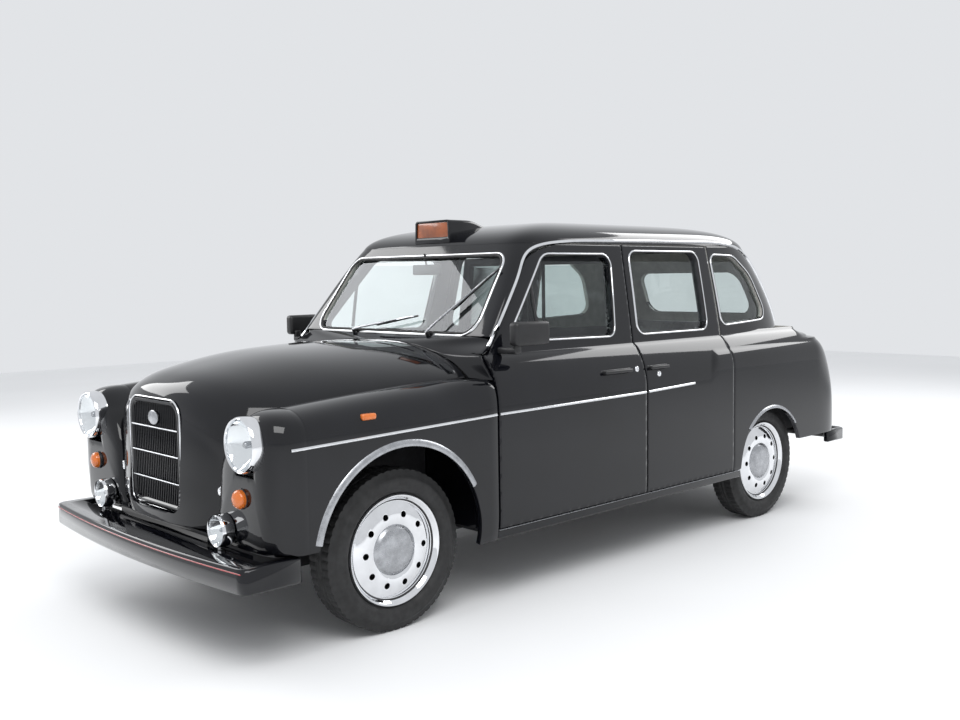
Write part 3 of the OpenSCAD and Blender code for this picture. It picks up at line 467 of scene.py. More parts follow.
# ---------- mesh makers ----------
def put(name, verts, faces, material, smooth=40, scale=MM):
    """New object from points in millimetres. Edges sharper than smooth degrees stay sharp."""
    mesh = bpy.data.meshes.new(name)
    mesh.from_pydata((np.array(verts, float) * scale).tolist(), [], [list(map(int, f)) for f in faces])
    mesh.validate()
    return dress(name, mesh, material, smooth)


def dress(name, mesh, material, smooth=40):
    mesh.materials.clear()
    mesh.materials.append(material)
    mesh.shade_smooth()
    if smooth:
        mesh.set_sharp_from_angle(angle=math.radians(smooth))
    piece = bpy.data.objects.new(name, mesh)
    bpy.context.scene.collection.objects.link(piece)
    return piece


def outward(piece):
    """Turns the faces of a closed piece outwards."""
    bm = bmesh.new()
    bm.from_mesh(piece.data)
    bmesh.ops.recalc_face_normals(bm, faces=bm.faces)
    bm.to_mesh(piece.data)
    bm.free()
    return piece


def grid_faces(rows, cols, base=0):
    return [[base + i * cols + j, base + i * cols + j + 1, base + (i + 1) * cols + j + 1,
             base + (i + 1) * cols + j] for i in range(rows - 1) for j in range(cols - 1)]


def grid_normals(g):
    a, b = np.gradient(g, axis=0), np.gradient(g, axis=1)
    n = np.cross(a, b)
    return n / np.maximum(np.linalg.norm(n, axis=2, keepdims=True), 1e-6)


def slab(name, outer, inner, material, smooth=40):
    """Closed sheet between two grids of the same size."""
    rows, cols = outer.shape[:2]
    n = rows * cols
    faces = grid_faces(rows, cols) + [f[::-1] for f in grid_faces(rows, cols, n)]
    edge = list(range(cols - 1)) + [i * cols + cols - 1 for i in range(rows - 1)]
    edge += [n - 1 - j for j in range(cols - 1)] + [(rows - 1 - i) * cols for i in range(rows - 1)]
    faces += [[edge[k], edge[k] + n, edge[(k + 1) % len(edge)] + n, edge[(k + 1) % len(edge)]]
              for k in range(len(edge))]
    verts = np.concatenate([outer.reshape(-1, 3), inner.reshape(-1, 3)])
    return outward(put(name, verts, faces, material, smooth))


def shell(name, g, t, inward, material, smooth=40):
    """Sheet of thickness t behind the grid g; inward is +1 or -1 times its normals."""
    g = np.array(g, float)
    return slab(name, g, g + inward * t * grid_normals(g), material, smooth)


def whole(g):
    """Grid of the left half, from the middle outwards, made whole by its mirror image."""
    g = np.array(g, float)
    return np.concatenate([g[:, :0:-1] * [-1, 1, 1], g], axis=1)


def prism(outline, axis, a, b):
    """Cutter swept from a to b along axis 0 (outline [y, z]), 1 (outline [x, z]) or 2 ([x, y])."""
    n = len(outline)
    verts = [list(np.insert(np.array(p, float), axis, s)) for s in (a, b) for p in outline]
    faces = [list(range(n)), list(range(n, 2 * n))]
    faces += [[k, (k + 1) % n, (k + 1) % n + n, k + n] for k in range(n)]
    return outward(put("cutter", verts, faces, PAINT, 0))


def block(low, high):
    return prism([[low[0], low[1]], [high[0], low[1]], [high[0], high[1]], [low[0], high[1]]],
                 2, low[2], high[2])


def circle(centre, r, n=96):
    return [[centre[0] + r * math.cos(2 * math.pi * k / n), centre[1] + r * math.sin(2 * math.pi * k / n)]
            for k in range(n)]


def carve(piece, cutters, operation="DIFFERENCE", smooth=40, bevel=0.0):
    """Cuts the piece with each cutter, then rounds its sharp edges."""
    for cutter in cutters:
        modifier = piece.modifiers.new("cut", "BOOLEAN")
        modifier.operation, modifier.object, modifier.solver = operation, cutter, "EXACT"
    if bevel:
        modifier = piece.modifiers.new("round", "BEVEL")
        modifier.width, modifier.segments, modifier.limit_method = bevel * MM, 2, "ANGLE"
        modifier.angle_limit, modifier.harden_normals = math.radians(50), True
    settle(piece, smooth)
    for cutter in cutters:
        bpy.data.objects.remove(cutter)
    return piece


def settle(piece, smooth=40):
    """Applies the modifiers of a piece."""
    bpy.context.view_layer.update()
    graph = bpy.context.evaluated_depsgraph_get()
    mesh = bpy.data.meshes.new_from_object(piece.evaluated_get(graph))
    piece.modifiers.clear()
    piece.data = mesh
    mesh.shade_smooth()
    mesh.set_sharp_from_angle(angle=math.radians(smooth))
    return piece


def join(name, parts, smooth=40):
    """One piece out of several, with their materials."""
    verts, faces, slots, mats = [], [], [], []
    for part in parts:
        base = len(verts)
        local = [mats.index(m) if m in mats else (mats.append(m), len(mats) - 1)[1]
                 for m in part.data.materials]
        verts += [part.matrix_world @ v.co for v in part.data.vertices]
        faces += [[base + v for v in f.vertices] for f in part.data.polygons]
        slots += [local[f.material_index] for f in part.data.polygons]
    for part in parts:
        bpy.data.objects.remove(part)
    mesh = bpy.data.meshes.new(name)
    mesh.from_pydata([list(v) for v in verts], [], faces)
    for m in mats:
        mesh.materials.append(m)
    mesh.polygons.foreach_set("material_index", slots)
    mesh.shade_smooth()
    mesh.set_sharp_from_angle(angle=math.radians(smooth))
    piece = bpy.data.objects.new(name, mesh)
    bpy.context.scene.collection.objects.link(piece)
    return piece


def twin(piece, name):
    """The same piece on the cab's other side."""
    mesh = piece.data.copy()
    co = np.zeros(len(mesh.vertices) * 3, np.float32)
    mesh.vertices.foreach_get("co", co)
    co[0::3] *= -1
    mesh.vertices.foreach_set("co", co)
    mesh.flip_normals()
    copy = bpy.data.objects.new(name, mesh)
    bpy.context.scene.collection.objects.link(copy)
    return copy


def lathe(name, profile, centre, axis, material, n=96, smooth=35):
    """Turned piece: profile is [radius, height] along the axis through centre."""
    axis = Vector(axis).normalized()
    side = axis.orthogonal().normalized()
    up = axis.cross(side)
    verts = []
    for r, h in profile:
        for k in range(n):
            a = 2 * math.pi * k / n
            verts.append(Vector(centre) + axis * h + (side * math.cos(a) + up * math.sin(a)) * r)
    faces = [[i * n + k, i * n + (k + 1) % n, (i + 1) * n + (k + 1) % n, (i + 1) * n + k]
             for i in range(len(profile) - 1) for k in range(n)]
    piece = put(name, verts, faces, material, 0)
    bm = bmesh.new()
    bm.from_mesh(piece.data)
    bmesh.ops.remove_doubles(bm, verts=bm.verts, dist=1e-6)
    bmesh.ops.recalc_face_normals(bm, faces=bm.faces)
    bm.to_mesh(piece.data)
    bm.free()
    piece.data.shade_smooth()
    piece.data.set_sharp_from_angle(angle=math.radians(smooth))
    return piece


def sweep(name, path, outs, shape, material, closed=False, smooth=40):
    """Section swept along a path. shape gives [across, out] points, out along the outs vectors."""
    p, o = np.array(path, float), np.array(outs, float)
    t = np.roll(p, -1, 0) - np.roll(p, 1, 0) if closed else np.gradient(p, axis=0)
    t /= np.maximum(np.linalg.norm(t, axis=1, keepdims=True), 1e-9)
    o = o - t * np.sum(o * t, axis=1, keepdims=True)
    o /= np.maximum(np.linalg.norm(o, axis=1, keepdims=True), 1e-9)
    s = np.cross(t, o)
    m, n = len(shape), len(p)
    verts = np.concatenate([p + s * a + o * b for a, b in shape])
    faces = [[j * n + i, j * n + (i + 1) % n, ((j + 1) % m) * n + (i + 1) % n, ((j + 1) % m) * n + i]
             for j in range(m) for i in range(n if closed else n - 1)]
    if not closed:
        faces += [[j * n for j in range(m)], [j * n + n - 1 for j in range(m)]]
    return outward(put(name, verts, faces, material, smooth))


def half_round(w, h, n=6):
    """Section of a moulding: flat base, rounded face."""
    return [[-w / 2 * math.cos(math.pi * k / n), h * math.sin(math.pi * k / n)] for k in range(n + 1)]


def ring(r, n=12):
    return [[r * math.cos(2 * math.pi * k / n), r * math.sin(2 * math.pi * k / n)] for k in range(n)]


def tube(name, path, r, material, closed=False, n=12):
    """Round bar along a path."""
    p = np.array(path, float)
    t = np.gradient(p, axis=0)
    lead = np.array([0, 0, 1.0]) if np.abs(t[:, 2]).mean() < 0.8 * np.linalg.norm(t, axis=1).mean() \
        else np.array([0, 1.0, 0])
    return sweep(name, p, np.tile(lead, (len(p), 1)), ring(r, n), material, closed)


def soft_box(name, low, high, r, material, segments=3, smooth=60):
    """Box with rounded edges, for moulded parts."""
    low, high = np.array(low, float), np.array(high, float)
    bm = bmesh.new()
    bmesh.ops.create_cube(bm, size=1)
    for v in bm.verts:
        v.co = Vector(((low + high) / 2 + np.array(v.co) * (high - low)) * MM)
    bmesh.ops.bevel(bm, geom=bm.edges, offset=r * MM, segments=segments, affect="EDGES", profile=0.5)
    mesh = bpy.data.meshes.new(name)
    bm.to_mesh(mesh)
    bm.free()
    return dress(name, mesh, material, smooth)


def surface_of(*pieces):
    """Ray target made of one or more pieces, in millimetres."""
    verts, faces = [], []
    for piece in pieces:
        base = len(verts)
        verts += [v.co / MM for v in piece.data.vertices]
        faces += [[base + v for v in f.vertices] for f in piece.data.polygons]
    return BVHTree.FromPolygons(verts, faces)


def onto(tree, starts, direction):
    """Points and outward normals where rays first meet the surface; misses are left out."""
    d = Vector(direction).normalized()
    hits, normals = [], []
    for s in starts:
        hit, normal, _, _ = tree.ray_cast(Vector(s), d)
        if hit is not None:
            hits.append(hit)
            normals.append(-normal if normal.dot(d) > 0 else normal)
    return np.array(hits, float), np.array(normals, float)


def moulding(name, tree, starts, direction, w, h, material, closed=False, lift=0.0):
    """Half round strip that lies on a surface."""
    p, o = onto(tree, starts, direction)
    kernel = np.array([1, 2, 3, 2, 1]) / 9
    pad = "wrap" if closed else "edge"
    o = np.stack([np.convolve(np.pad(o[:, k], 2, mode=pad), kernel, "valid") for k in range(3)], 1)
    return sweep(name, p + o * lift, o, half_round(w, h), material, closed)


# ---------- painted panels ----------
def over_rows(rows, cells):
    return np.array([[p for p in cells(z)] for z in rows])


SIDE_ROWS = steps(SILL, 860, 26) + steps(872, BELT - 1, 26) + steps(BELT + 4, RAIL - 92, 26) \
    + steps(RAIL - 84, RAIL - 6, 14)


def door_panel(name, y0, y1, bevel0, bevel1, window):
    outer = over_rows(SIDE_ROWS, lambda z: [[side_x(y, z), y, z] for y in steps(y0(z), y1(z), 64)])
    inner = outer + [-DOOR_T, 0, 0]
    inner[:, 0, 1] += bevel0
    inner[:, -1, 1] -= bevel1
    return carve(slab(name, outer, inner, PAINT), [prism(window, 0, 400, 1000)], bevel=2.0)


front_door = door_panel("front_door_left", lambda z: door_edge(z) + GAP / 2,
                        lambda z: b_line(z) - GAP / 2, 0, 20, FRONT_WINDOW)
rear_door = door_panel("rear_door_left", lambda z: b_line(z) + GAP / 2,
                       lambda z: REAR_Y - GAP / 2, 20, 0, REAR_WINDOW)

QUARTER_ROWS = steps(SILL, 860, 26) + steps(872, HAUNCH, 26)[:-1] + [
    HAUNCH + (DECK - 1 - HAUNCH) * math.sin(math.pi / 2 * k / 12) for k in range(13)]
REAR_UP = steps(BELT - 4, RAIL, 40)
PLUNGE = DECK - 4


def quarter_cells(z):
    flat = [[HALF_W - min(door_inset(min(z, BELT)), haunch_inset(y, min(z, BELT))) - pw(z - BELT, 1), y, z]
            for y in steps(REAR_Y + GAP / 2, ROUND_Y, 44)]
    return flat + [tail_point(a, z) for a in steps(3, 62, 34)]


arch = prism(circle((REAR_AXLE - 18, TYRE_R + 3), 332), 0, -1500, 1500)
skirt = block([-2000, REAR_AXLE - 18, 200], [2000, TAIL_Y + 100, 453.3])
middle = block([-LID_W - GAP, 0, 0], [LID_W + GAP, 3000, 2000])
quarter = carve(shell("quarter_left", over_rows([z for z in QUARTER_ROWS if z <= PLUNGE], quarter_cells),
                      PANEL_T, 1, PAINT), [arch, skirt, middle], bevel=1.5)
upper = over_rows(REAR_UP, lambda z: [cab_point(a, z, 0.8) for a in
                                      steps(cab_bearing(REAR_Y + GAP / 2, z), 66, 60)])
middle = block([-LID_W - GAP, 0, 0], [LID_W + GAP, 3000, 2000])
upper = carve(shell("upper_left", upper, PANEL_T, 1, PAINT),
              [prism(QUARTER, 0, 400, 1000), middle], bevel=1.5)
quarter = join("body_side_left", [quarter, upper])


def back_cells(z):
    return [tail_point(a, z) for a in steps(90, 8, 60)]


BACK_ROWS = [z for z in QUARTER_ROWS if 420 < z <= PLUNGE]
lid_low, lid_high = [-LID_W, LID_Y, 520], [LID_W, 3000, 2000]
back = shell("rear_lower", whole(over_rows(BACK_ROWS, back_cells)), PANEL_T, -1, PAINT)
lid = shell("boot_lid_skin", whole(over_rows(BACK_ROWS, back_cells)), PANEL_T, -1, PAINT)
lid_box = block([-LID_W + GAP, LID_Y + GAP, 520 + GAP], [LID_W - GAP, 3000, 2000])
carve(lid, [lid_box], "INTERSECT", bevel=2.0)
sides = [block([s * (LID_W + GAP) if s > 0 else -2000, 0, 0], [2000 if s > 0 else -LID_W - GAP, 3000, 2000])
         for s in (1, -1)]
carve(back, [block(lid_low, lid_high), block([-2000, 0, 200], [2000, TAIL_Y + 100, 453.3]), *sides],
      bevel=1.5)
window_wall = whole(over_rows(REAR_UP, lambda z: [cab_point(a, z, 0.8) for a in steps(90, 40, 50)]))
sides = [block([s * (LID_W + GAP) if s > 0 else -2000, 0, 0], [2000 if s > 0 else -LID_W - GAP, 3000, 2000])
         for s in (1, -1)]
window_wall = carve(shell("window_wall", window_wall, PANEL_T, -1, PAINT),
                    [prism(BACKLIGHT, 1, ROUND_Y - 500, TAIL_Y), *sides], bevel=1.5)
back = join("rear_panel_skin", [back, window_wall])

# Roof: crown from the drip rail to the middle, and the windscreen surround
crown_bearings = steps(-90, -52, 24)[:-1] + steps(-52, -36, 16)[:-1] + steps(-36, 90, 70)
crown = whole(np.array([[roof_point(a, t) for a in crown_bearings] for t in steps(0, 1, 40)]))
crown = shell("crown", crown, PANEL_T - 4, 1, PAINT)
face = over_rows(steps(BELT + 82, RAIL + 12, 44), lambda z: [
    cab_point(a, z, 0.8) for a in
    steps(-90, -60, 20)[:-1] + steps(-60, cab_bearing(door_edge(z) - GAP / 2, z), 40)])
lift = [[door_edge(z) - GAP / 2, z + 0.8 * GAP * ramp(RAIL - 150, RAIL - 80, z)]
        for z in steps(BELT + 5, RAIL + 12, 60)]
door_space = [[DOOR_Y - GAP / 2, SILL], [DOOR_Y - GAP / 2, BELT + 9]] + lift + [
    [MID_Y, RAIL + 20], [MID_Y, SILL]]
face = carve(shell("screen_surround", whole(face), PANEL_T, 1, PAINT),
             [prism(SCREEN, 1, DOOR_Y - 200, DOOR_Y + 600), prism(door_space, 0, -HALF_W, HALF_W)],
             bevel=1.5)
roof = join("roof_skin", [crown, face])

scuttle = whole(np.array([[scuttle_point(math.sin(math.pi / 2 * k / 48), t) for k in range(49)]
                          for t in steps(0, 1, 12)]))
scuttle = carve(shell("scuttle_skin", scuttle, PANEL_T / 2, 1, PAINT),
                [prism(door_space, 0, 700, HALF_W), prism(door_space, 0, -HALF_W, -700)], bevel=1.5)
bulkhead = block([-HALF_W + 135, DOOR_Y - 27, SILL - 14], [HALF_W - 135, DOOR_Y - 9, 1000])
scuttle = join("scuttle_skin_whole", [scuttle, bulkhead])

bonnet_cols = [math.sin(math.pi / 2 * k / 40) for k in range(-40, 41)]
bonnet = np.array([[bonnet_point(u, v) for u in bonnet_cols] for v in steps(0, 9, 110)])
bonnet = carve(shell("bonnet_skin", bonnet, PANEL_T, -1, PAINT),
               [prism(GRILLE, 1, NOSE_Y, NOSE_Y + 300)], bevel=2.0)


def wing():
    """Left front wing: crown and flank behind, with the lamp nose swept forward from their rim."""
    rim = wing_rim()
    back = np.array([wing_section(v, 300) for v in steps(0, NOSE_V, 60)])
    back_part = shell("wing_back", back, PANEL_T, -1, PAINT)
    rings = []
    for s in [0.3, 0.38, 0.46, 0.54] + [0.54 + 0.46 * math.sin(math.pi / 2 * k / 26) for k in range(1, 27)]:
        f = (1 - s ** 3.2) ** (1 / 3.2)
        rings.append([[mix(LAMP[0], q[0], s), q[1] - (q[1] - LAMP[1]) * f, mix(LAMP[2], q[2], s)]
                      for q in rim])
    nose = np.array(rings)
    nose = np.concatenate([nose, nose[:, :1]], axis=1)
    inner = nose + [0, PANEL_T, 0]
    centre = np.array([LAMP[0], 0, LAMP[2]])
    inner[:, :, [0, 2]] = centre[[0, 2]] + (inner[:, :, [0, 2]] - centre[[0, 2]]) * 0.96
    rows, cols = nose.shape[:2]
    verts = np.concatenate([nose.reshape(-1, 3), inner.reshape(-1, 3)])
    faces = grid_faces(rows, cols) + [f[::-1] for f in grid_faces(rows, cols, rows * cols)]
    for r in (0, rows - 1):
        faces += [[r * cols + k, r * cols + k + 1, (rows + r) * cols + k + 1, (rows + r) * cols + k]
                  for k in range(cols - 1)]
    nose_part = put("wing_nose", verts, faces, PAINT, 0)
    bm = bmesh.new()
    bm.from_mesh(nose_part.data)
    bmesh.ops.remove_doubles(bm, verts=bm.verts, dist=1e-5)
    bmesh.ops.recalc_face_normals(bm, faces=bm.faces)
    bm.to_mesh(nose_part.data)
    bm.free()
    cut = [prism(circle((FRONT_AXLE - 15, TYRE_R + 28), 425), 0, 300, 1500),
           block([500, NOSE_Y, 200], [1000, FRONT_AXLE - 200, WING_LOW])]
    carve(back_part, cut, bevel=1.5)
    carve(nose_part, [prism(circle((LAMP[0], LAMP[2]), 100), 1, NOSE_Y, LAMP[1] + 100),
                      block([500, NOSE_Y, 200], [1000, FRONT_AXLE - 200, WING_LOW])], bevel=1.5)
    return join("front_wing_left", [back_part, nose_part])


front_wing = wing()
PANELS = {
    "front_door_left": (front_door, "front_left_door", "front_left_door"),
    "rear_door_left": (rear_door, "rear_left_door", "rear_left_door"),
    "body_side_left": (quarter, "cab_body", "left_body_side"),
    "front_wing_left": (front_wing, "cab_body", "left_front_wing"),
}


def line_inside(panel, finish, low=-1e9, high=1e9):
    """Gives a panel's inner faces between two heights another finish."""
    mesh = panel.data
    mesh.materials.append(finish)
    slot_number = len(mesh.materials) - 1
    for f in mesh.polygons:
        c = f.center / MM
        away = Vector((c.x, c.y - MID_Y, c.z - 900)).normalized()
        if f.normal.dot(away) < -0.25 and low < c.z < high:
            f.material_index = slot_number


for panel in (front_door, rear_door):
    line_inside(panel, TRIM)
for panel in (quarter, back):
    line_inside(panel, TRIM, high=BELT)
    line_inside(panel, LINING, low=BELT)
line_inside(roof, LINING)


# ---------- riding, twins and finishes ----------
def add(piece, body, nodes=()):
    """The piece rides on a body, and stands for nodes."""
    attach(piece, body)
    if nodes:
        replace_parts(piece, *nodes)
    return piece


def swap(name):
    return name.replace("left", "right")


def both(piece, body, nodes=()):
    """Adds a piece of the left side and its mirror image on the right."""
    other = twin(piece, swap(piece.name) if "left" in piece.name else piece.name + "_right")
    if "left" not in piece.name:
        piece.name = piece.name + "_left"
    add(piece, body, nodes)
    add(other, swap(body), [swap(n) for n in nodes])


for name, (panel, body, node) in PANELS.items():
    both(panel, body, [node])
add(back, "cab_body", ["rear_panel"])
add(lid, "boot_lid", ["boot_lid"])
add(roof, "cab_body", ["roof_panel"])
add(scuttle, "cab_body", ["scuttle_panel"])
add(bonnet, "bonnet", ["bonnet"])

CAD_FINISH = {
    UNDER: ["chassis_frame", "floor_pan", "front_suspension", "rear_axle", "fuel_tank",
            "left_knuckle", "right_knuckle"],
    PAINT: ["front_valance", "front_bumper", "rear_bumper", "roof_sign"],
    GLASS: ["windscreen", "quarter_windows", "rear_window", "front_left_glass", "front_right_glass",
            "rear_left_glass", "rear_right_glass"],
    BLACK: ["dashboard", "steering_wheel", "wipers", "left_mirror", "right_mirror",
            "radiator_grille"],
    TRIM: ["partition", "tip_up_seats", "driver_seat", "rear_seat"],
    IRON: ["engine_block"],
    PIPE: ["exhaust"],
    CHROME: ["headlamps", "fog_lamps", "front_left_wheel", "front_right_wheel", "rear_left_wheel",
             "rear_right_wheel"],
    TYRE: ["front_left_tyre", "front_right_tyre", "rear_left_tyre", "rear_right_tyre"],
    AMBER: ["indicators"],
    RED: ["tail_lamps"],
}
for finish, names in CAD_FINISH.items():
    for name in names:
        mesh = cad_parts[name].data
        mesh.materials.clear()
        mesh.materials.append(finish)


# ---------- bright trim that lies on the panels ----------
STRIP_W, STRIP_H = 13, 6


def side_starts(points):
    return [[1400, y, z] for y, z in points]


def side_trim(name, panel, body, points, w, h, finish, closed=False, lift=0.0):
    """Strip on a left side panel through [y, z] points, and its twin."""
    path = resample(points, 12, closed)
    both(moulding(name, surface_of(panel), side_starts(path), (-1, 0, 0), w, h, finish, closed, lift),
         body)


def waist_z(y):
    return float(np.interp(y, [NOSE_Y + 240, DOOR_Y, B_LINE - 30, REAR_Y - 370], [840, 868, 875, 888]))


def waist(y0, y1):
    return [[y, waist_z(y)] for y in steps(y0, y1, 30)]


for label, panel, body, y0, y1 in (("wing", front_wing, "cab_body", NOSE_Y + 262, DOOR_Y - 12),
                                   ("front_door", front_door, "front_left_door", DOOR_Y + 8, B_LINE - 8),
                                   ("rear_door", rear_door, "rear_left_door", B_LINE + 14, REAR_Y - 384)):
    side_trim("waist_strip_" + label, panel, body, waist(y0, y1), STRIP_W, STRIP_H, CHROME)

for label, panel, body, outline in (("front_door", front_door, "front_left_door", FRONT_WINDOW),
                                    ("rear_door", rear_door, "rear_left_door", REAR_WINDOW),
                                    ("quarter", quarter, "cab_body", QUARTER)):
    side_trim("window_frame_" + label, panel, body, grow(outline, 8), 11, 7, CHROME, True)
    side_trim("window_seal_" + label, panel, body, grow(outline, 2.5), 8, 5, RUBBER, True)

# Drip rail: up the windscreen pillar, over the doors and down the rear quarter
drip = [[DOOR_Y + 20 + 0.80 * (z - BELT), z] for z in steps(BELT + 24, RAIL - 150, 20)]
drip += [[float(y), float(z)] for y, z in resample(
    [spline([[DOOR_Y + 20 + 0.80 * (RAIL - 150 - BELT), RAIL - 150], [DOOR_Y + 385, RAIL - 52],
             [DOOR_Y + 500, RAIL - 10], [DOOR_Y + 700, RAIL + 8], [B_LINE, RAIL + 14], [REAR_Y, RAIL + 18],
             [REAR_Y + 190, RAIL + 12], [REAR_Y + 390, RAIL - 14], [REAR_Y + 560, RAIL - 100],
             [REAR_Y + 672, RAIL - 210], [REAR_Y + 740, RAIL - 330], [REAR_Y + 790, BELT + 40]], t)
     for t in steps(0, 11, 160)], 14)[1:]]
shell_tree = surface_of(roof, quarter, scuttle)
p, o = onto(shell_tree, side_starts(resample(drip, 14)), (-1, 0, 0))
kernel = np.ones(9) / 9
p = np.stack([np.convolve(np.pad(p[:, k], 4, mode="edge"), kernel, "valid") for k in range(3)], 1)
o = np.stack([np.convolve(np.pad(o[:, k], 4, mode="edge"), kernel, "valid") for k in range(3)], 1)
both(sweep("drip_rail", p - o * 1.0, o, [[-8, 0], [-8, 9], [-3, 12], [5, 9], [7, 0]], CHROME),
     "cab_body")

# Windscreen and rear window surrounds
for name, panel, outline, direction, start in (
        ("windscreen_surround", roof, SCREEN, (0, 1, 0), -3000),
        ("rear_window_surround", back, BACKLIGHT, (0, -1, 0), 3500)):
    tree = surface_of(panel)
    for part, d, w, h, finish in (("_chrome", 13, 12, 7, CHROME), ("_rubber", 4, 15, 6, RUBBER)):
        loop = resample(grow(outline, d), 14, True)
        strip = moulding(name + part, tree, [[x, start, z] for x, z in loop], direction, w, h, finish, True)
        add(strip, "cab_body")


def arch_lip(name, panel, centre, r, a0, a1, w):
    """Flared lip round a wheel arch, on the outside of the panel."""
    p = np.array([[centre[0] + (r + w / 2 - 4) * math.cos(math.radians(a)),
                   centre[1] + (r + w / 2 - 4) * math.sin(math.radians(a))] for a in steps(a0, a1, 90)])
    hits, outs = onto(surface_of(panel), side_starts(p), (-1, 0, 0))
    shape = [[-w / 2, -2], [-w / 2, 6], [-w / 4, 9], [w / 4, 5], [w / 2, -2]]
    both(sweep(name, hits, outs, shape, SATIN), "cab_body")


arch_lip("front_arch_lip", front_wing, (FRONT_AXLE - 15, TYRE_R + 28), 425, 28, 168, 30)
arch_lip("rear_arch_lip", quarter, (REAR_AXLE - 18, TYRE_R + 3), 332, 40, 138, 20)

# Black sill cover with a bright upper edge
sill = soft_box("sill_cover", [HALF_W - 60, DOOR_Y + 2, 300], [HALF_W - 16, REAR_Y + 88, SILL - 7], 8, PAINT)
both(sill, "cab_body")
edge = [[HALF_W - 17, y, SILL - 10] for y in steps(DOOR_Y + 6, REAR_Y + 84, 20)]
both(sweep("sill_edge", edge, [[1, 0, 0]] * 21, half_round(6, 5), SATIN), "cab_body")


# ---------- lamps ----------
def dome(r, depth, n=10):
    return [[r * math.cos(math.pi / 2 * k / n), depth * math.sin(math.pi / 2 * k / n)] for k in range(n + 1)]


def fluted(piece, centre, pitch, depth):
    """Moulds upright flutes into a lens."""
    for v in piece.data.vertices:
        v.co.y += depth * MM * math.cos(2 * math.pi * (v.co.x / MM - centre) / pitch)
    return piece


def round_lamp(name, c, r, depth, bulge, nodes=()):
    """Bright bezel and bowl, a bulb in its cap, and a domed clear lens, facing -Y."""
    face = Vector((0, -1, 0))
    x, y, z = c
    rim_shape = [[0.80, -1], [0.96, -1], [1, -0.6], [1, 0.2], [0.985, 0.55], [0.94, 0.72], [0.89, 0.62],
                 [0.87, 0.40]]
    bowl_shape = [[0.87, 0.42], [0.74, -0.25], [0.5, -0.72], [0.2, -0.93], [0, -0.95]]
    bulb_shape = [[0.12, -0.9], [0.13, -0.2], [0.09, 0], [0, 0.04]]

    def turned(part, shape, finish, n=96):
        return lathe(name + part, [[r * a, depth * h] for a, h in shape], (x, y, z), face, finish, n)

    bezel = turned("_bezel", rim_shape, CHROME)
    bowl = turned("_bowl", bowl_shape, MIRROR)
    cap = turned("_bulb", bulb_shape, SATIN, 32)
    lens = lathe(name + "_lens", [[a, depth * 0.45 + h] for a, h in dome(r * 0.875, bulge, 16)],
                 (x, y, z), face, LENS, 96)
    fluted(lens, x, r * 0.11, 1.3)
    both(join(name, [bezel, bowl, cap]), "cab_body", nodes)
    both(lens, "cab_body")


round_lamp("headlamp", (LAMP[0], LAMP[1] - 6, LAMP[2]), 110, 36, 24, ["headlamps"])
round_lamp("fog_lamp", (532, NOSE_Y + 142, 508), 65, 30, 12, ["fog_lamps"])
stalk = lathe("fog_lamp_stalk", [[9, 0], [9, 18], [13, 22], [13, 27]], (532, NOSE_Y + 140, 431),
              (0, 0, 1), CHROME, 32)
both(stalk, "cab_body")


def lens_button(name, c, r, h, face, finish, nodes=()):
    base = lathe(name + "_base", [[r * 1.1, -22], [r * 1.1, 3], [r * 1.02, 5]], c, face, BLACK, 48)
    crown = [[a, h * 0.45 + b] for a, b in dome(r * 0.97, h * 0.55)]
    lens = lathe(name + "_lens", [[r, 2], [r, h * 0.45]] + crown, c, face, finish, 48)
    both(join(name, [base, lens]), "cab_body", nodes)


lens_button("indicator", (652, NOSE_Y + 172, 644), 37, 34, (0.1, -1, 0), AMBER, ["indicators"])
for k, z in enumerate((650, 770)):
    lens_button(f"tail_lamp_{k}", (690, TAIL_Y - 26, z), 46, 44, (0.05, 1, 0), RED,
                ["tail_lamps"] if k == 0 else [])
lens_button("reversing_lamp", (690, TAIL_Y - 22, 560), 34, 28, (0.05, 1, 0), LENS)
repeater = soft_box("side_repeater", [HALF_W - 28, NOSE_Y + 590, 918],
                    [HALF_W + 1, NOSE_Y + 660, 944], 9, AMBER)
both(repeater, "cab_body")
lock = lathe("nose_lock", [[21, -30], [21, 3], [17, 7], [9, 8], [7, 5], [0, 5]],
             (446, NOSE_Y + 203, 640), (0.1, -1, 0), CHROME, 40)
both(lock, "cab_body")

# ---------- grille ----------
front = NOSE_Y + 148
parts = []
for k in range(-12, 13):
    x, half = k * 16.6, 430 if abs(k) < 10 else 405
    parts.append(soft_box("slat", [x - 3.2, front, 755 - half / 2], [x + 3.2, front + 24, 755 + half / 2],
                          2.6, PAINT, 2))
for z in (640, 752, 862):
    parts.append(sweep("bar", [[x, front - 3, z] for x in steps(-208, 208, 12)], [[0, -1, 0]] * 13,
                       half_round(8, 6), SATIN))
loop = resample(grow(GRILLE, -12), 12, True)
parts.append(sweep("frame", [[x, front + 4, z] for x, z in loop], [[0, -1, 0]] * len(loop),
                   [[-12, -22], [-12, 4], [-6, 11], [4, 11], [11, 2], [11, -22]], PAINT, True))
lip = resample(grow(GRILLE, 3), 12, True)
parts.append(sweep("lip", [[x, front - 4, z] for x, z in lip], [[0, -1, 0]] * len(lip),
                   half_round(7, 5), CHROME, True))
parts.append(prism(grow(GRILLE, -16), 1, front + 26, front + 30))
parts[-1].data.materials[0] = BLACK
badge = lathe("badge", [[30, 0], [30, 5], [26, 8], [0, 9]], (0, front - 4, 905), (0, -1, 0), SATIN, 48)
for v in badge.data.vertices:
    v.co.x *= 1.5
parts.append(badge)
add(join("grille", parts), "bonnet", ["radiator_grille"])


# ---------- bumpers ----------
def extruded(name, outline, z0, z1, finish, r, segments=4):
    """Plan outline raised from z0 to z1, with rounded edges."""
    piece = prism(outline, 2, z0, z1)
    piece.name, piece.data.materials[0] = name, finish
    return carve(piece, [], bevel=r, smooth=50)


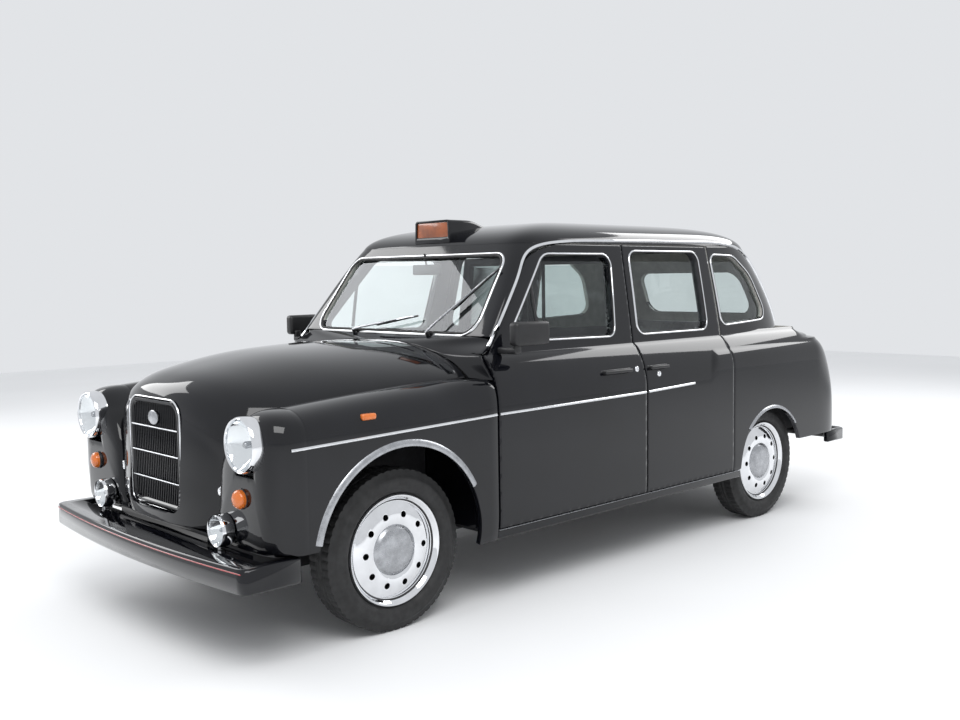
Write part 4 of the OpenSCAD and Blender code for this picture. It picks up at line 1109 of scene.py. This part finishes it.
bow = [[84.2 * k, NOSE_Y + 49 * (k / 10) ** 2] for k in np.linspace(-10, 10, 61)]
plan = bow + [[862, NOSE_Y + 75], [862, NOSE_Y + 297], [802, NOSE_Y + 297], [802, NOSE_Y + 160],
              [-802, NOSE_Y + 160], [-802, NOSE_Y + 297], [-862, NOSE_Y + 297], [-862, NOSE_Y + 75]]
add(extruded("front_bumper_blade", plan, 330, 430.5, PAINT, 9), "cab_body", ["front_bumper"])
line = [[x, y, 411] for x, y in bow]
out = [[0.12 * math.copysign(1, x) * abs(x / 842), -1, 0] for x, _ in bow]
add(sweep("bumper_pinstripe", line, out, half_round(5, 2.5), RED_LINE), "cab_body")
tail = [[80 * k, cad_high.y / MM - 26 * (k / 10) ** 2] for k in np.linspace(10, -10, 61)]
plan = tail + [[-838, TAIL_Y], [-838, TAIL_Y - 190], [-800, TAIL_Y - 190], [-800, TAIL_Y - 12],
               [800, TAIL_Y - 12], [800, TAIL_Y - 190], [838, TAIL_Y - 190], [838, TAIL_Y]]
add(extruded("rear_bumper_blade", plan, 374, 453, PAINT, 9), "cab_body")
iron = soft_box("bumper_iron", [305, TAIL_Y - 101, 400], [375, TAIL_Y - 12, 450], 4, UNDER)
other = twin(iron, "bumper_iron_right")
irons = join("bumper_irons", [iron, other])
add(irons, "cab_body", ["rear_bumper"])

# ---------- wheels and tyres ----------
HOLES = 10
SHOULDER_TURN, WALL_R = 0.9, 62


def wheel_mesh():
    """Left wheel about the X axis: black rim, bright domed trim with round holes, plain hub cap."""
    x = (1, 0, 0)
    trim = lathe("trim", [[228, 52], [236, 66], [233, 72], [222, 66], [212, 50], [204, 46], [196, 50],
                          [170, 60], [140, 64], [112, 60], [107, 58], [107, 46], [140, 50], [170, 46],
                          [196, 38], [212, 40], [222, 52]], (0, 0, 0), x, CHROME, 128)
    holes = [prism(circle((152 * math.cos(2 * math.pi * k / HOLES), 152 * math.sin(2 * math.pi * k / HOLES)),
                          13.5, 24), 0, 30, 90) for k in range(HOLES)]
    carve(trim, holes, bevel=1.0, smooth=35)
    cap = lathe("cap", [[0, 74], [60, 74], [84, 72], [96, 66], [101, 60], [107, 56], [107, 38], [0, 38]],
                (0, 0, 0), x, SATIN, 96)
    barrel = lathe("barrel", [[238, -68], [239, -63], [224, -57], [216, -40], [206, -20], [206, 34],
                              [224, 55], [238, 62], [238, 66], [222, 60], [198, 40], [198, 10], [120, 22],
                              [60, 14], [60, -28], [120, -4], [192, 2], [198, -58], [238, -68]],
                   (0, 0, 0), x, UNDER, 128)
    nuts = [lathe("nut", [[0, 30], [9, 30], [11, 27], [11, 10]],
                  (0, 62 * math.cos(a), 62 * math.sin(a)), (-1, 0, 0), SATIN, 6, 20)
            for a in [2 * math.pi * k / 5 for k in range(5)]]
    return join("wheel", [trim, cap, barrel, *nuts], 35)


def tyre_mesh(across=44, around=240):
    """Tyre about the X axis with ribs, sipes and shoulder blocks cut into the tread."""
    half = TYRE_W / 2
    sections = []
    for k in range(across + 1):
        w = math.radians(mix(-118, 118, k / across))
        if abs(w) > SHOULDER_TURN:
            r, x = TYRE_R - WALL_R + WALL_R * math.cos(w), half * max(-1, min(1, math.sin(w) * 1.03))
        else:
            r, x = TYRE_R - 1.5 * (w / SHOULDER_TURN) ** 4, half * 0.8 * w / SHOULDER_TURN
        sections.append([r, x])
    sections = [[225, -56], [240, -61]] + [[max(r, 241), x] for r, x in sections
                                           if r > 243] + [[240, 61], [225, 56]]
    verts = []
    for r, x in sections:
        tread = r > TYRE_R - 16
        u = abs(x) / half
        for j in range(around):
            a = 2 * math.pi * j / around
            cut = 0.0
            if tread and (0.16 < u < 0.24 or 0.50 < u < 0.58):
                cut = 6.0
            elif tread and (j + (2 if x > 0 else 0)) % 4 == 0 and u > 0.24:
                cut = 4.5
            elif tread and j % 6 == 3 and u <= 0.16:
                cut = 2.5
            if not tread and abs(r - 300) < 4:
                cut = -1.5
            verts.append([x, (r - cut) * math.cos(a), (r - cut) * math.sin(a)])
    n = len(sections)
    faces = [[i * around + j, i * around + (j + 1) % around, ((i + 1) % n) * around + (j + 1) % around,
              ((i + 1) % n) * around + j] for i in range(n) for j in range(around)]
    return outward(put("tyre", verts, faces, TYRE, 32))


wheel_part, tyre_part = wheel_mesh(), tyre_mesh()
for place, x, y in (("front_left", WHEEL_X, FRONT_AXLE), ("front_right", -WHEEL_X, FRONT_AXLE),
                    ("rear_left", WHEEL_X, REAR_AXLE), ("rear_right", -WHEEL_X, REAR_AXLE)):
    for part, kind, slot in ((wheel_part, "wheel", "wheel_chrome"), (tyre_part, "tyre", "tyre_rubber")):
        copy = bpy.data.objects.new(f"{place}_{kind}_detail", part.data.copy())
        bpy.context.scene.collection.objects.link(copy)
        turn = Matrix.Rotation(0 if x > 0 else math.pi, 4, "Z")
        copy.data.transform(Matrix.Translation(Vector((x, y, TYRE_R)) * MM) @ turn)
        add(copy, f"{place}_wheel", [f"{place}_{kind}"])
bpy.data.objects.remove(wheel_part)
bpy.data.objects.remove(tyre_part)


# ---------- mirrors, handles, wipers and roof sign ----------
AHEAD = DOOR_Y + 54
head = soft_box("mirror", [884, AHEAD + 2, 1169], [940, AHEAD + 202, 1275], 17, BLACK, 4)
for v in head.data.vertices:
    back_y = (v.co.y / MM - AHEAD - 2) / 200
    v.co.x += 10 * MM * ramp(0, 1, back_y) - 8 * MM * (1 - back_y) ** 2
    v.co.z += 4 * MM * math.sin(math.pi * back_y) * math.copysign(1, v.co.z / MM - 1222)
hollow = soft_box("hollow", [892, AHEAD + 190, 1180], [944, AHEAD + 230, 1264], 9, BLACK)
carve(head, [hollow], bevel=1.2)
face = soft_box("face", [896, AHEAD + 192, 1184], [938, AHEAD + 195, 1260], 1.2, MIRROR, 1)
base = soft_box("base", [774, AHEAD + 27, 1130], [898, AHEAD + 69, 1160], 10, BLACK, 3)
neck = soft_box("neck", [874, AHEAD + 28, 1142], [898, AHEAD + 68, 1192], 9, BLACK, 3)
both(join("left_mirror_detail", [head, face, base, neck], 50), "front_left_door",
     ["left_mirror"])


def handle_x(y, z, panel):
    return float(onto(surface_of(panel), [[1400, y, z]], (-1, 0, 0))[0][0][0])


def handle_part(name, panel, body, y0, y1, lock_at):
    """Pull bar over a recessed black plate, with a bright lock beside it."""
    x = handle_x((y0 + y1) / 2, 1012, panel)
    plate = soft_box("plate", [x - 12, y0 + 2, 981], [x + 5, y1 - 2, 1010], 7, BLACK)
    bar = soft_box("bar", [x + 14, y0 + 14, 989], [x + 28, y1 - 12, 1006], 6, BLACK, 4)
    stub0 = soft_box("stub", [x, y0 + 14, 990], [x + 22, y0 + 44, 1005], 5, BLACK)
    stub1 = soft_box("stub", [x, y1 - 30, 990], [x + 22, y1 - 12, 1005], 5, BLACK)
    xl = handle_x(lock_at[0], lock_at[1], panel)
    rose = lathe("rose", [[15, -8], [15, 2], [12, 5], [6, 6], [5, 3], [0, 3]], (xl, *lock_at),
                 (1, 0, 0), CHROME, 40)
    both(join(name, [plate, bar, stub0, stub1, rose], 50), body)


handle_part("front_left_door_handle", front_door, "front_left_door", B_LINE - 345, B_LINE - 105,
            (B_LINE - 62, 998))
handle_part("rear_left_door_handle", rear_door, "rear_left_door", B_LINE + 20, B_LINE + 200,
            (B_LINE + 112, 962))


def wiper_part(name, x, turn):
    """Spindle, tapered arm and a blade held by its harness, in the CAD wiper's plane."""
    place = Matrix.Translation(Vector((x, cab_front(BELT + 78) - 8, BELT + 84)))
    place = place @ Matrix.Rotation(math.radians(-34), 4, "X") @ Matrix.Rotation(math.radians(turn), 4, "Y")
    made = [lathe("spindle", [[13, 2], [13, -8], [9, -14], [9, -18], [0, -20]], (0, 0, 0),
                  (0, 1, 0), BLACK, 32),
            sweep("arm", [[0, -14, -6], [0, -18, 20], [0, -19, 60], [0, -17, 150], [0, -14, 232]],
                  [[0, -1, 0]] * 5, [[-6, -2], [-6, 2], [-3, 5], [3, 5], [6, 2], [6, -2]], SATIN),
            sweep("arm_tip", [[0, -13, 215], [0, -15, 250], [0, -14, 322]], [[0, -1, 0]] * 3,
                  half_round(6, 3), SATIN),
            sweep("harness", [[0, -7, 196], [0, -11, 240], [0, -12, 320], [0, -11, 400], [0, -7, 442]],
                  [[0, -1, 0]] * 5, [[-3.5, -1], [-3.5, 2], [3.5, 2], [3.5, -1]], SATIN),
            sweep("holder", [[0, -5, 172], [0, -5, 468]], [[0, -1, 0]] * 2,
                  [[-3.5, -2], [-3.5, 2], [3.5, 2], [3.5, -2]], BLACK),
            sweep("lip", [[0, -2, 173], [0, -2, 467]], [[0, -1, 0]] * 2,
                  [[-1.2, -4], [-2.4, 1], [2.4, 1], [1.2, -4]], RUBBER)]
    piece = join(name, made, 45)
    for v in piece.data.vertices:
        v.co = (place @ (v.co / MM)) * MM
    return add(piece, "cab_body")


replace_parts(wiper_part("wiper_left", 332, 38), "wipers")
wiper_part("wiper_right", -261, 78)

sign_front, sign_back = NOSE_Y + 1696, NOSE_Y + 2068
sign_rows = []
for k in range(25):
    t = k / 24
    y = mix(sign_front, sign_back, t)
    half = 138 * (1 - 0.22 * ramp(0.2, 1, t))
    crown = ROOF_H + mix(0, -1, t) - 50 * ramp(0.38, 1.0, t)
    foot = float(roof_point(0, 0.06 + 0.36 * t)[2]) - 2
    ring_points = round_poly([[-half, foot], [half, foot], [half - 4, crown + 0], [-half + 4, crown]],
                             [1, 1, 16, 16], 5)
    sign_rows.append([[x, y, z] for x, z in ring_points])
m = len(sign_rows[0])
sign_faces = [[i * m + j, i * m + (j + 1) % m, (i + 1) * m + (j + 1) % m, (i + 1) * m + j]
              for i in range(24) for j in range(m)]
sign_faces += [list(range(m)), [24 * m + j for j in range(m)]]
housing = outward(put("housing", [p for row in sign_rows for p in row], sign_faces, PAINT, 35))
sign_foot = float(roof_point(0, 0.06)[2])


def sign_face(half, inset, radii):
    """Outline of the sign's blank front, set in from its foot and its crown."""
    foot, crown = sign_foot + 16 + inset, ROOF_H - inset
    return round_poly([[-half, foot], [half, foot], [half - 4, crown], [4 - half, crown]], radii, 5)


carve(housing, [prism(sign_face(126, 10, [8, 8, 12, 12]), 1, sign_front - 20, sign_front + 12)], bevel=2.0)
lens = prism(sign_face(124, 12, [7, 7, 11, 11]), 1, sign_front + 4, sign_front + 14)
lens.data.materials[0] = SIGN
carve(lens, [], bevel=2.0)
gasket = soft_box("gasket", [-132, sign_front + 6, sign_foot - 8],
                  [132, sign_back - 60, sign_foot + 9], 4, RUBBER)
add(join("roof_sign_detail", [housing, lens, gasket], 40), "cab_body", ["roof_sign"])


# ---------- inside the cab ----------
SWELL = 22.0


def lattice(corners, edge):
    """Block from 8 corners (4 below, 4 above) with rounded edges, in millimetres."""
    faces = [[3, 2, 1, 0], [4, 5, 6, 7], [0, 1, 5, 4], [1, 2, 6, 5], [2, 3, 7, 6], [3, 0, 4, 7]]
    piece = put("lattice", corners, faces, CLOTH, 60)
    rounding = piece.modifiers.new("round", "BEVEL")
    rounding.width, rounding.segments = edge * MM, 4
    return settle(piece, 60)


def inflate(piece, pressure=4.0):
    """Blows a closed mesh up as cloth under pressure and returns its moved points."""
    cloth = piece.modifiers.new("cloth", "CLOTH")
    cloth.settings.use_pressure = True
    cloth.settings.uniform_pressure_force = pressure
    cloth.settings.effector_weights.gravity = 0.0
    cloth.settings.quality = 4
    cloth.collision_settings.use_collision = False
    stage = bpy.context.scene
    for n in range(1, 21):
        stage.frame_set(n)
    graph = bpy.context.evaluated_depsgraph_get()
    moved = np.array([v.co[:] for v in piece.evaluated_get(graph).data.vertices])
    piece.modifiers.clear()
    stage.frame_set(1)
    return moved


def pad(name, corners, finish, body, fill, channels=None, voxel=9.0, flat=True):
    """Stuffed cushion inside the block given by 8 corners, crowned by a cloth simulation."""
    corners = np.array(corners, float)
    low, high = corners.min(0), corners.max(0)
    middle = (low + high) / 2
    draw = np.minimum(SWELL, 0.28 * (high - low))
    inner = middle + (corners - middle) * (1 - 2 * draw / (high - low))
    if flat:
        inner[:4, 2] = corners[:4, 2] + 1
    piece = lattice(inner, 0.3 * min(high - low - 2 * draw))
    remesh = piece.modifiers.new("remesh", "REMESH")
    remesh.mode, remesh.voxel_size = "VOXEL", voxel * MM
    settle(piece, 0)
    start = np.array([v.co[:] for v in piece.data.vertices])
    moved = inflate(piece)
    step = moved - start
    length = np.linalg.norm(step, axis=1, keepdims=True)
    moved = start + step * np.minimum(1, 26 * MM / np.maximum(length, 1e-9))
    if channels:
        axis, pitch, depth = channels
        across = (moved[:, axis] / MM - middle[axis]) / pitch
        groove = depth * np.exp(-((across - np.round(across)) * pitch / 5.5) ** 2)
        thin = int(np.argmin(high - low))
        side = np.sign(moved[:, thin] / MM - middle[thin])
        reach = np.abs(moved[:, axis] / MM - middle[axis]) / ((high - low)[axis] / 2 - 45)
        rim = np.clip(1 - reach ** 12, 0, 1)
        moved[:, thin] -= side * groove * rim * MM
    moved = np.clip(moved, (low + 0.4) * MM, (high - 0.4) * MM)
    piece.data.vertices.foreach_set("co", moved.astype(np.float32).ravel())
    piece.name, piece.data.materials[0] = name, finish
    smooth = piece.modifiers.new("smooth", "SUBSURF")
    smooth.levels = smooth.render_levels = 1
    settle(piece, 0)
    add(piece, body)
    return piece


def hexa(x0, x1, yz):
    """8 corners from x0 to x1 over a quadrilateral of [y, z]: front low, rear low, rear high, front high."""
    (a, b, c, d) = yz
    return [[x0, *a], [x1, *a], [x1, *b], [x0, *b], [x0, *d], [x1, *d], [x1, *c], [x0, *c]]


pad("driver_cushion", hexa(-610, -150, [[-430, 441], [40, 441], [40, 548], [-420, 570]]),
    CLOTH, "cab_body", 0.75, (0, 62, 6))
pad("driver_back", hexa(-600, -160, [[-28, 574], [62, 574], [108, 1008], [36, 1028]]),
    CLOTH, "cab_body", 0.7, (0, 62, 6), flat=False)
pad("rear_cushion", hexa(-527, 527, [[1101, 621], [1600, 621], [1600, 722], [1110, 759]]),
    HIDE, "cab_body", 0.75, (0, 88, 7), voxel=12)
pad("rear_back", hexa(-527, 527, [[1541, 766], [1640, 766], [1698, 1208], [1626, 1218]]),
    HIDE, "cab_body", 0.7, (0, 88, 7), voxel=12, flat=False)
for side, label in ((1, "left"), (-1, "right")):
    a, b = sorted((side * 132, side * 558))
    for part, y0, z0, z1 in (("cushion", 128, 562, 772), ("back", 92, 786, 1008)):
        near, far = B_LINE + y0, B_LINE + y0 + 41
        pad(f"tip_up_{part}_{label}", hexa(a, b, [[near, z0], [far, z0], [far, z1], [near, z1]]),
            HIDE, "cab_body", 0.7, (0, 70, 3), flat=False)
frames = [soft_box("leg", [x - 8, B_LINE + 91, 562], [x + 8, B_LINE + 160, 780], 4, SATIN)
          for x in (-545, -145, 145, 545)]
add(join("tip_up_frames", frames), "cab_body", ["tip_up_seats"])
for y, z, name in ((-430, 446, "front"), (38, 446, "rear")):
    piping = [[x, y + (6 if y < 0 else -6), z] for x in steps(-590, -170, 20)]
    add(tube(f"driver_cushion_piping_{name}", piping, 3, TRIM), "cab_body")
pedestal = soft_box("driver_seat_base", [-588, -400, 339], [-172, 36, 439], 10, TRIM)
add(pedestal, "cab_body", ["driver_seat"])
riser = soft_box("rear_seat_base", [-524, 1151, 499], [524, 1558, 620], 8, CARPET)
add(riser, "cab_body", ["rear_seat"])

for name, y0, y1 in (("front_carpet", DOOR_Y + 4, B_LINE + 68), ("rear_carpet", B_LINE + 92, 1138)):
    add(soft_box(name, [-738, y0, 338.6], [738, y1, 344], 2.4, CARPET, 1), "cab_body")

# Partition: trimmed lower wall, sliding glass in a black frame
wall = [[-755, 339], [755, 339], [755, 1040], [672, 1160], [600, 1590], [-600, 1590], [-672, 1160],
        [-755, 1040]]
hole = round_poly([[-590, 1120], [590, 1120], [545, 1550], [-545, 1550]], [18] * 4, 5)
board = prism(round_poly(wall, [12] * 8, 4), 1, B_LINE + 71, B_LINE + 89)
board.data.materials[0] = TRIM
carve(board, [prism(hole, 1, B_LINE, B_LINE + 200)], bevel=2)
loop = resample(grow(hole, 2), 14, True)
bead = sweep("bead", [[x, B_LINE + 80, z] for x, z in loop], np.tile([0, -1.0, 0], (len(loop), 1)),
             [[-9, -13], [-9, 13], [6, 13], [6, -13]], BLACK, True)
bars = [soft_box("bar", [x - 9, B_LINE + 73, 1121], [x + 9, B_LINE + 87, 1549], 3, BLACK) for x in (-60, 60)]
add(join("partition_detail", [board, bead, *bars]), "cab_body", ["partition"])
pane = prism(grow(hole, -4), 1, B_LINE + 78, B_LINE + 82)
pane.name, pane.data.materials[0] = "partition_glass", GLASS
add(pane, "cab_body")

# Dashboard, instruments, column and steering wheel
dash_line = [[DOOR_Y - 8, 842], [DOOR_Y + 200, 822], [DOOR_Y + 259, 900], [DOOR_Y + 254, 1040],
             [DOOR_Y + 160, 1084], [DOOR_Y + 40, 1089], [DOOR_Y - 8, 1000]]
dash = prism(round_poly(dash_line, [2, 30, 20, 22, 30, 20, 2], 6), 0, -679, 679)
dash.data.materials[0] = BLACK
trays = [prism(round_poly([[a, 880], [b, 880], [b, 990], [a, 990]], [14] * 4, 4), 1,
               DOOR_Y + 225, DOOR_Y + 300) for a, b in ((120, 520), (-100, 60))]
carve(dash, trays, bevel=2)
column = np.array([-370, -563.7, 1012.9])
way = np.array([0, 0.9, 0.436])
bits = [dash]
for x, r in ((-470, 52), (-360, 52), (-270, 26)):
    bits.append(lathe("dial", [[r + 6, -8], [r + 6, 4], [r + 1, 8], [r, 2], [0, 1]], (x, DOOR_Y + 254, 985),
                      (0, 1, 0.12), SATIN, 48))
bits.append(soft_box("hood", [-545, DOOR_Y + 196, 1046], [-205, DOOR_Y + 282, 1062], 7, BLACK))
for x in (-600, 600):
    bits.append(lathe("vent", [[34, -6], [34, 6], [29, 9], [26, 2], [8, 0], [0, 4]], (x, DOOR_Y + 254, 985),
                      (0, 1, 0.1), BLACK, 40))
shaft = column - way * 3
bits.append(lathe("cowl", [[30, -240], [38, -200], [44, -60], [36, -6], [24, -1], [0, -1]],
                  shaft, way, BLACK, 48))
stick = shaft - way * 40
bits.append(tube("stalk", [stick + [40, 0, 0], stick + [110, 6, 8], stick + [165, 14, 20]], 5, BLACK))
add(join("dashboard_detail", bits, 45), "cab_body", ["dashboard"])

side_way, up_way = np.array([1.0, 0, 0]), np.cross(way, [1.0, 0, 0])


def around(r, turn, lift):
    return column + way * lift + r * (side_way * math.cos(turn) + up_way * math.sin(turn))


rim_path = [around(198, 2 * math.pi * k / 96, 18) for k in range(96)]
rim = sweep("rim", rim_path, np.tile(way, (96, 1)),
            ring(11.6, 16), BLACK, True)
pieces = [rim, lathe("boss", [[0, 2], [38, 2], [46, 8], [46, 20], [40, 26], [16, 29], [0, 29]],
                     column, way, BLACK, 64)]
for turn in (math.radians(-90), math.radians(30), math.radians(150)):
    pieces.append(sweep("spoke", [around(36, turn, 14), around(110, turn, 13), around(192, turn, 17)],
                        np.tile(way, (3, 1)), [[-13, -4], [-11, 4], [11, 4], [13, -4]], BLACK))
add(join("steering_wheel_detail", pieces, 50), "steering_wheel", ["steering_wheel"])

# Driver's mirror, door pulls, window divider
glass_y = cab_front(1520) + 46
inner = soft_box("inner", [-112, glass_y, 1492], [112, glass_y + 20, 1546], 9, BLACK)
shine = soft_box("shine", [-105, glass_y + 19, 1498], [105, glass_y + 22, 1540], 1.2, MIRROR, 1)
stem = tube("stem", [[0, glass_y + 6, 1544], [0, glass_y - 2, 1572], [0, glass_y - 6, 1602]], 5, BLACK)
add(join("inner_mirror", [inner, shine, stem]), "cab_body")
for name, panel, body, y0, y1 in (("front", front_door, "front_left_door", B_LINE - 560, B_LINE - 220),
                                  ("rear", rear_door, "rear_left_door", B_LINE + 230, B_LINE + 560)):
    x = side_x((y0 + y1) / 2, 900) - DOOR_T
    rest = soft_box("rest", [x - 42, y0, 880], [x + 4, y1, 912], 12, TRIM, 4)
    pull = tube("pull", [[x + 2, y0 + 70, 1000], [x - 24, y0 + 84, 1000],
                         [x - 24, y1 - 84, 1000], [x + 2, y1 - 70, 1000]], 7, SATIN)
    both(join(f"{name}_left_door_trim", [rest, pull]), body)
DIVIDE = DOOR_Y + 385
edge = np.array(FRONT_WINDOW, float)
top = float(np.interp(DIVIDE, *zip(*sorted(map(tuple, edge[edge[:, 1] > 1300])))))
foot = float(edge[:, 1].min())
tree = surface_of(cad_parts["front_left_glass"])
p, o = onto(tree, [[1400, DIVIDE, z] for z in steps(foot + 2, top - 2, 14)], (-1, 0, 0))
divider = [[-8, -3], [-8, 5], [-4, 8], [4, 8], [8, 5], [8, -3]]
both(sweep("front_left_window_divider", p, o, divider, BLACK), "front_left_door")

# Rear plate, boot handle and hinges
back_tree = surface_of(lid)
p, _ = onto(back_tree, [[0, 3500, 700], [0, 3500, 860]], (0, -1, 0))
plate_y = float(p[0][1])
plate = soft_box("plate", [-262, plate_y - 2, 640], [262, plate_y + 6, 752], 3, PLATE)
loop = resample(round_poly([[-263, 639], [263, 639], [263, 753], [-263, 753]], [6] * 4, 3), 20, True)
frame_edge = sweep("edge", [[x, plate_y + 4, z] for x, z in loop], [[0, 1, 0]] * len(loop),
                   half_round(6, 4), BLACK, True)
lamp_y = float(p[1][1])
lamp = soft_box("plate_lamp", [-110, lamp_y - 10, 790], [110, lamp_y + 16, 826], 9, BLACK)
knob = lathe("knob", [[16, -8], [16, 8], [22, 12], [22, 22], [12, 27], [0, 27]], (0, lamp_y, 880),
             (0, 1, 0), CHROME, 40)
add(join("boot_fittings", [plate, frame_edge, lamp, knob], 50), "boot_lid")
hinge = soft_box("hinge_left", [322, LID_Y - 42, 1144], [352, LID_Y - 10, 1160], 5, BLACK)
both(hinge, "cab_body")


# ---------- floor, light and camera ----------
floor_half = 14000
floor = put("studio_floor", [[-floor_half, -floor_half, 0], [floor_half, -floor_half, 0],
                             [floor_half, floor_half, 0], [-floor_half, floor_half, 0]],
            [[0, 1, 2, 3]], material("studio_floor", (0.86, 0.865, 0.87), roughness=0.7, spread=0.015,
                                     grain=0.6, wear=0.05, bump=0.02), 0)

world = bpy.data.worlds.new("studio")
bpy.context.scene.world = world
world.use_nodes = True
world.node_tree.nodes["Background"].inputs["Color"].default_value = (0.95, 0.97, 1.0, 1)
world.node_tree.nodes["Background"].inputs["Strength"].default_value = 0.8


def soft_light(name, place, target, width, height, power):
    light = bpy.data.lights.new(name, "AREA")
    light.shape, light.size, light.size_y, light.energy = "RECTANGLE", width, height, power
    lamp = bpy.data.objects.new(name, light)
    bpy.context.scene.collection.objects.link(lamp)
    lamp.location = place
    lamp.rotation_euler = (Vector(target) - Vector(place)).to_track_quat("-Z", "Y").to_euler()


soft_light("key", (4.5, -4.0, 6.5), (0, 0, 0.8), 5.0, 4.0, 330)
soft_light("fill", (-6.0, -3.5, 4.5), (0, -0.5, 0.8), 4.0, 4.0, 200)
soft_light("back", (1.0, 7.0, 5.5), (0, 0.5, 1.0), 6.0, 3.0, 260)

camera = bpy.data.objects.new("camera", bpy.data.cameras.new("camera"))
bpy.context.scene.collection.objects.link(camera)
bpy.context.scene.camera = camera
pitch, roll, yaw = -0.0760, -0.0132, -0.7905
ahead = Vector((math.sin(yaw) * math.cos(pitch), math.cos(yaw) * math.cos(pitch), math.sin(pitch)))
level = Vector((math.cos(yaw), -math.sin(yaw), 0))
rise = level.cross(ahead)
right = level * math.cos(roll) + rise * math.sin(roll)
up = rise * math.cos(roll) - level * math.sin(roll)
placed = Matrix((right, up, -ahead)).transposed().to_4x4()
placed.translation = (4.1660, -4.1128, 1.4733)
camera.matrix_world = placed
camera.data.sensor_width, camera.data.lens = 36.0, 38.82
camera.data.shift_x, camera.data.shift_y = -0.0374, -0.0038
bpy.context.scene.view_settings.view_transform = "Standard"
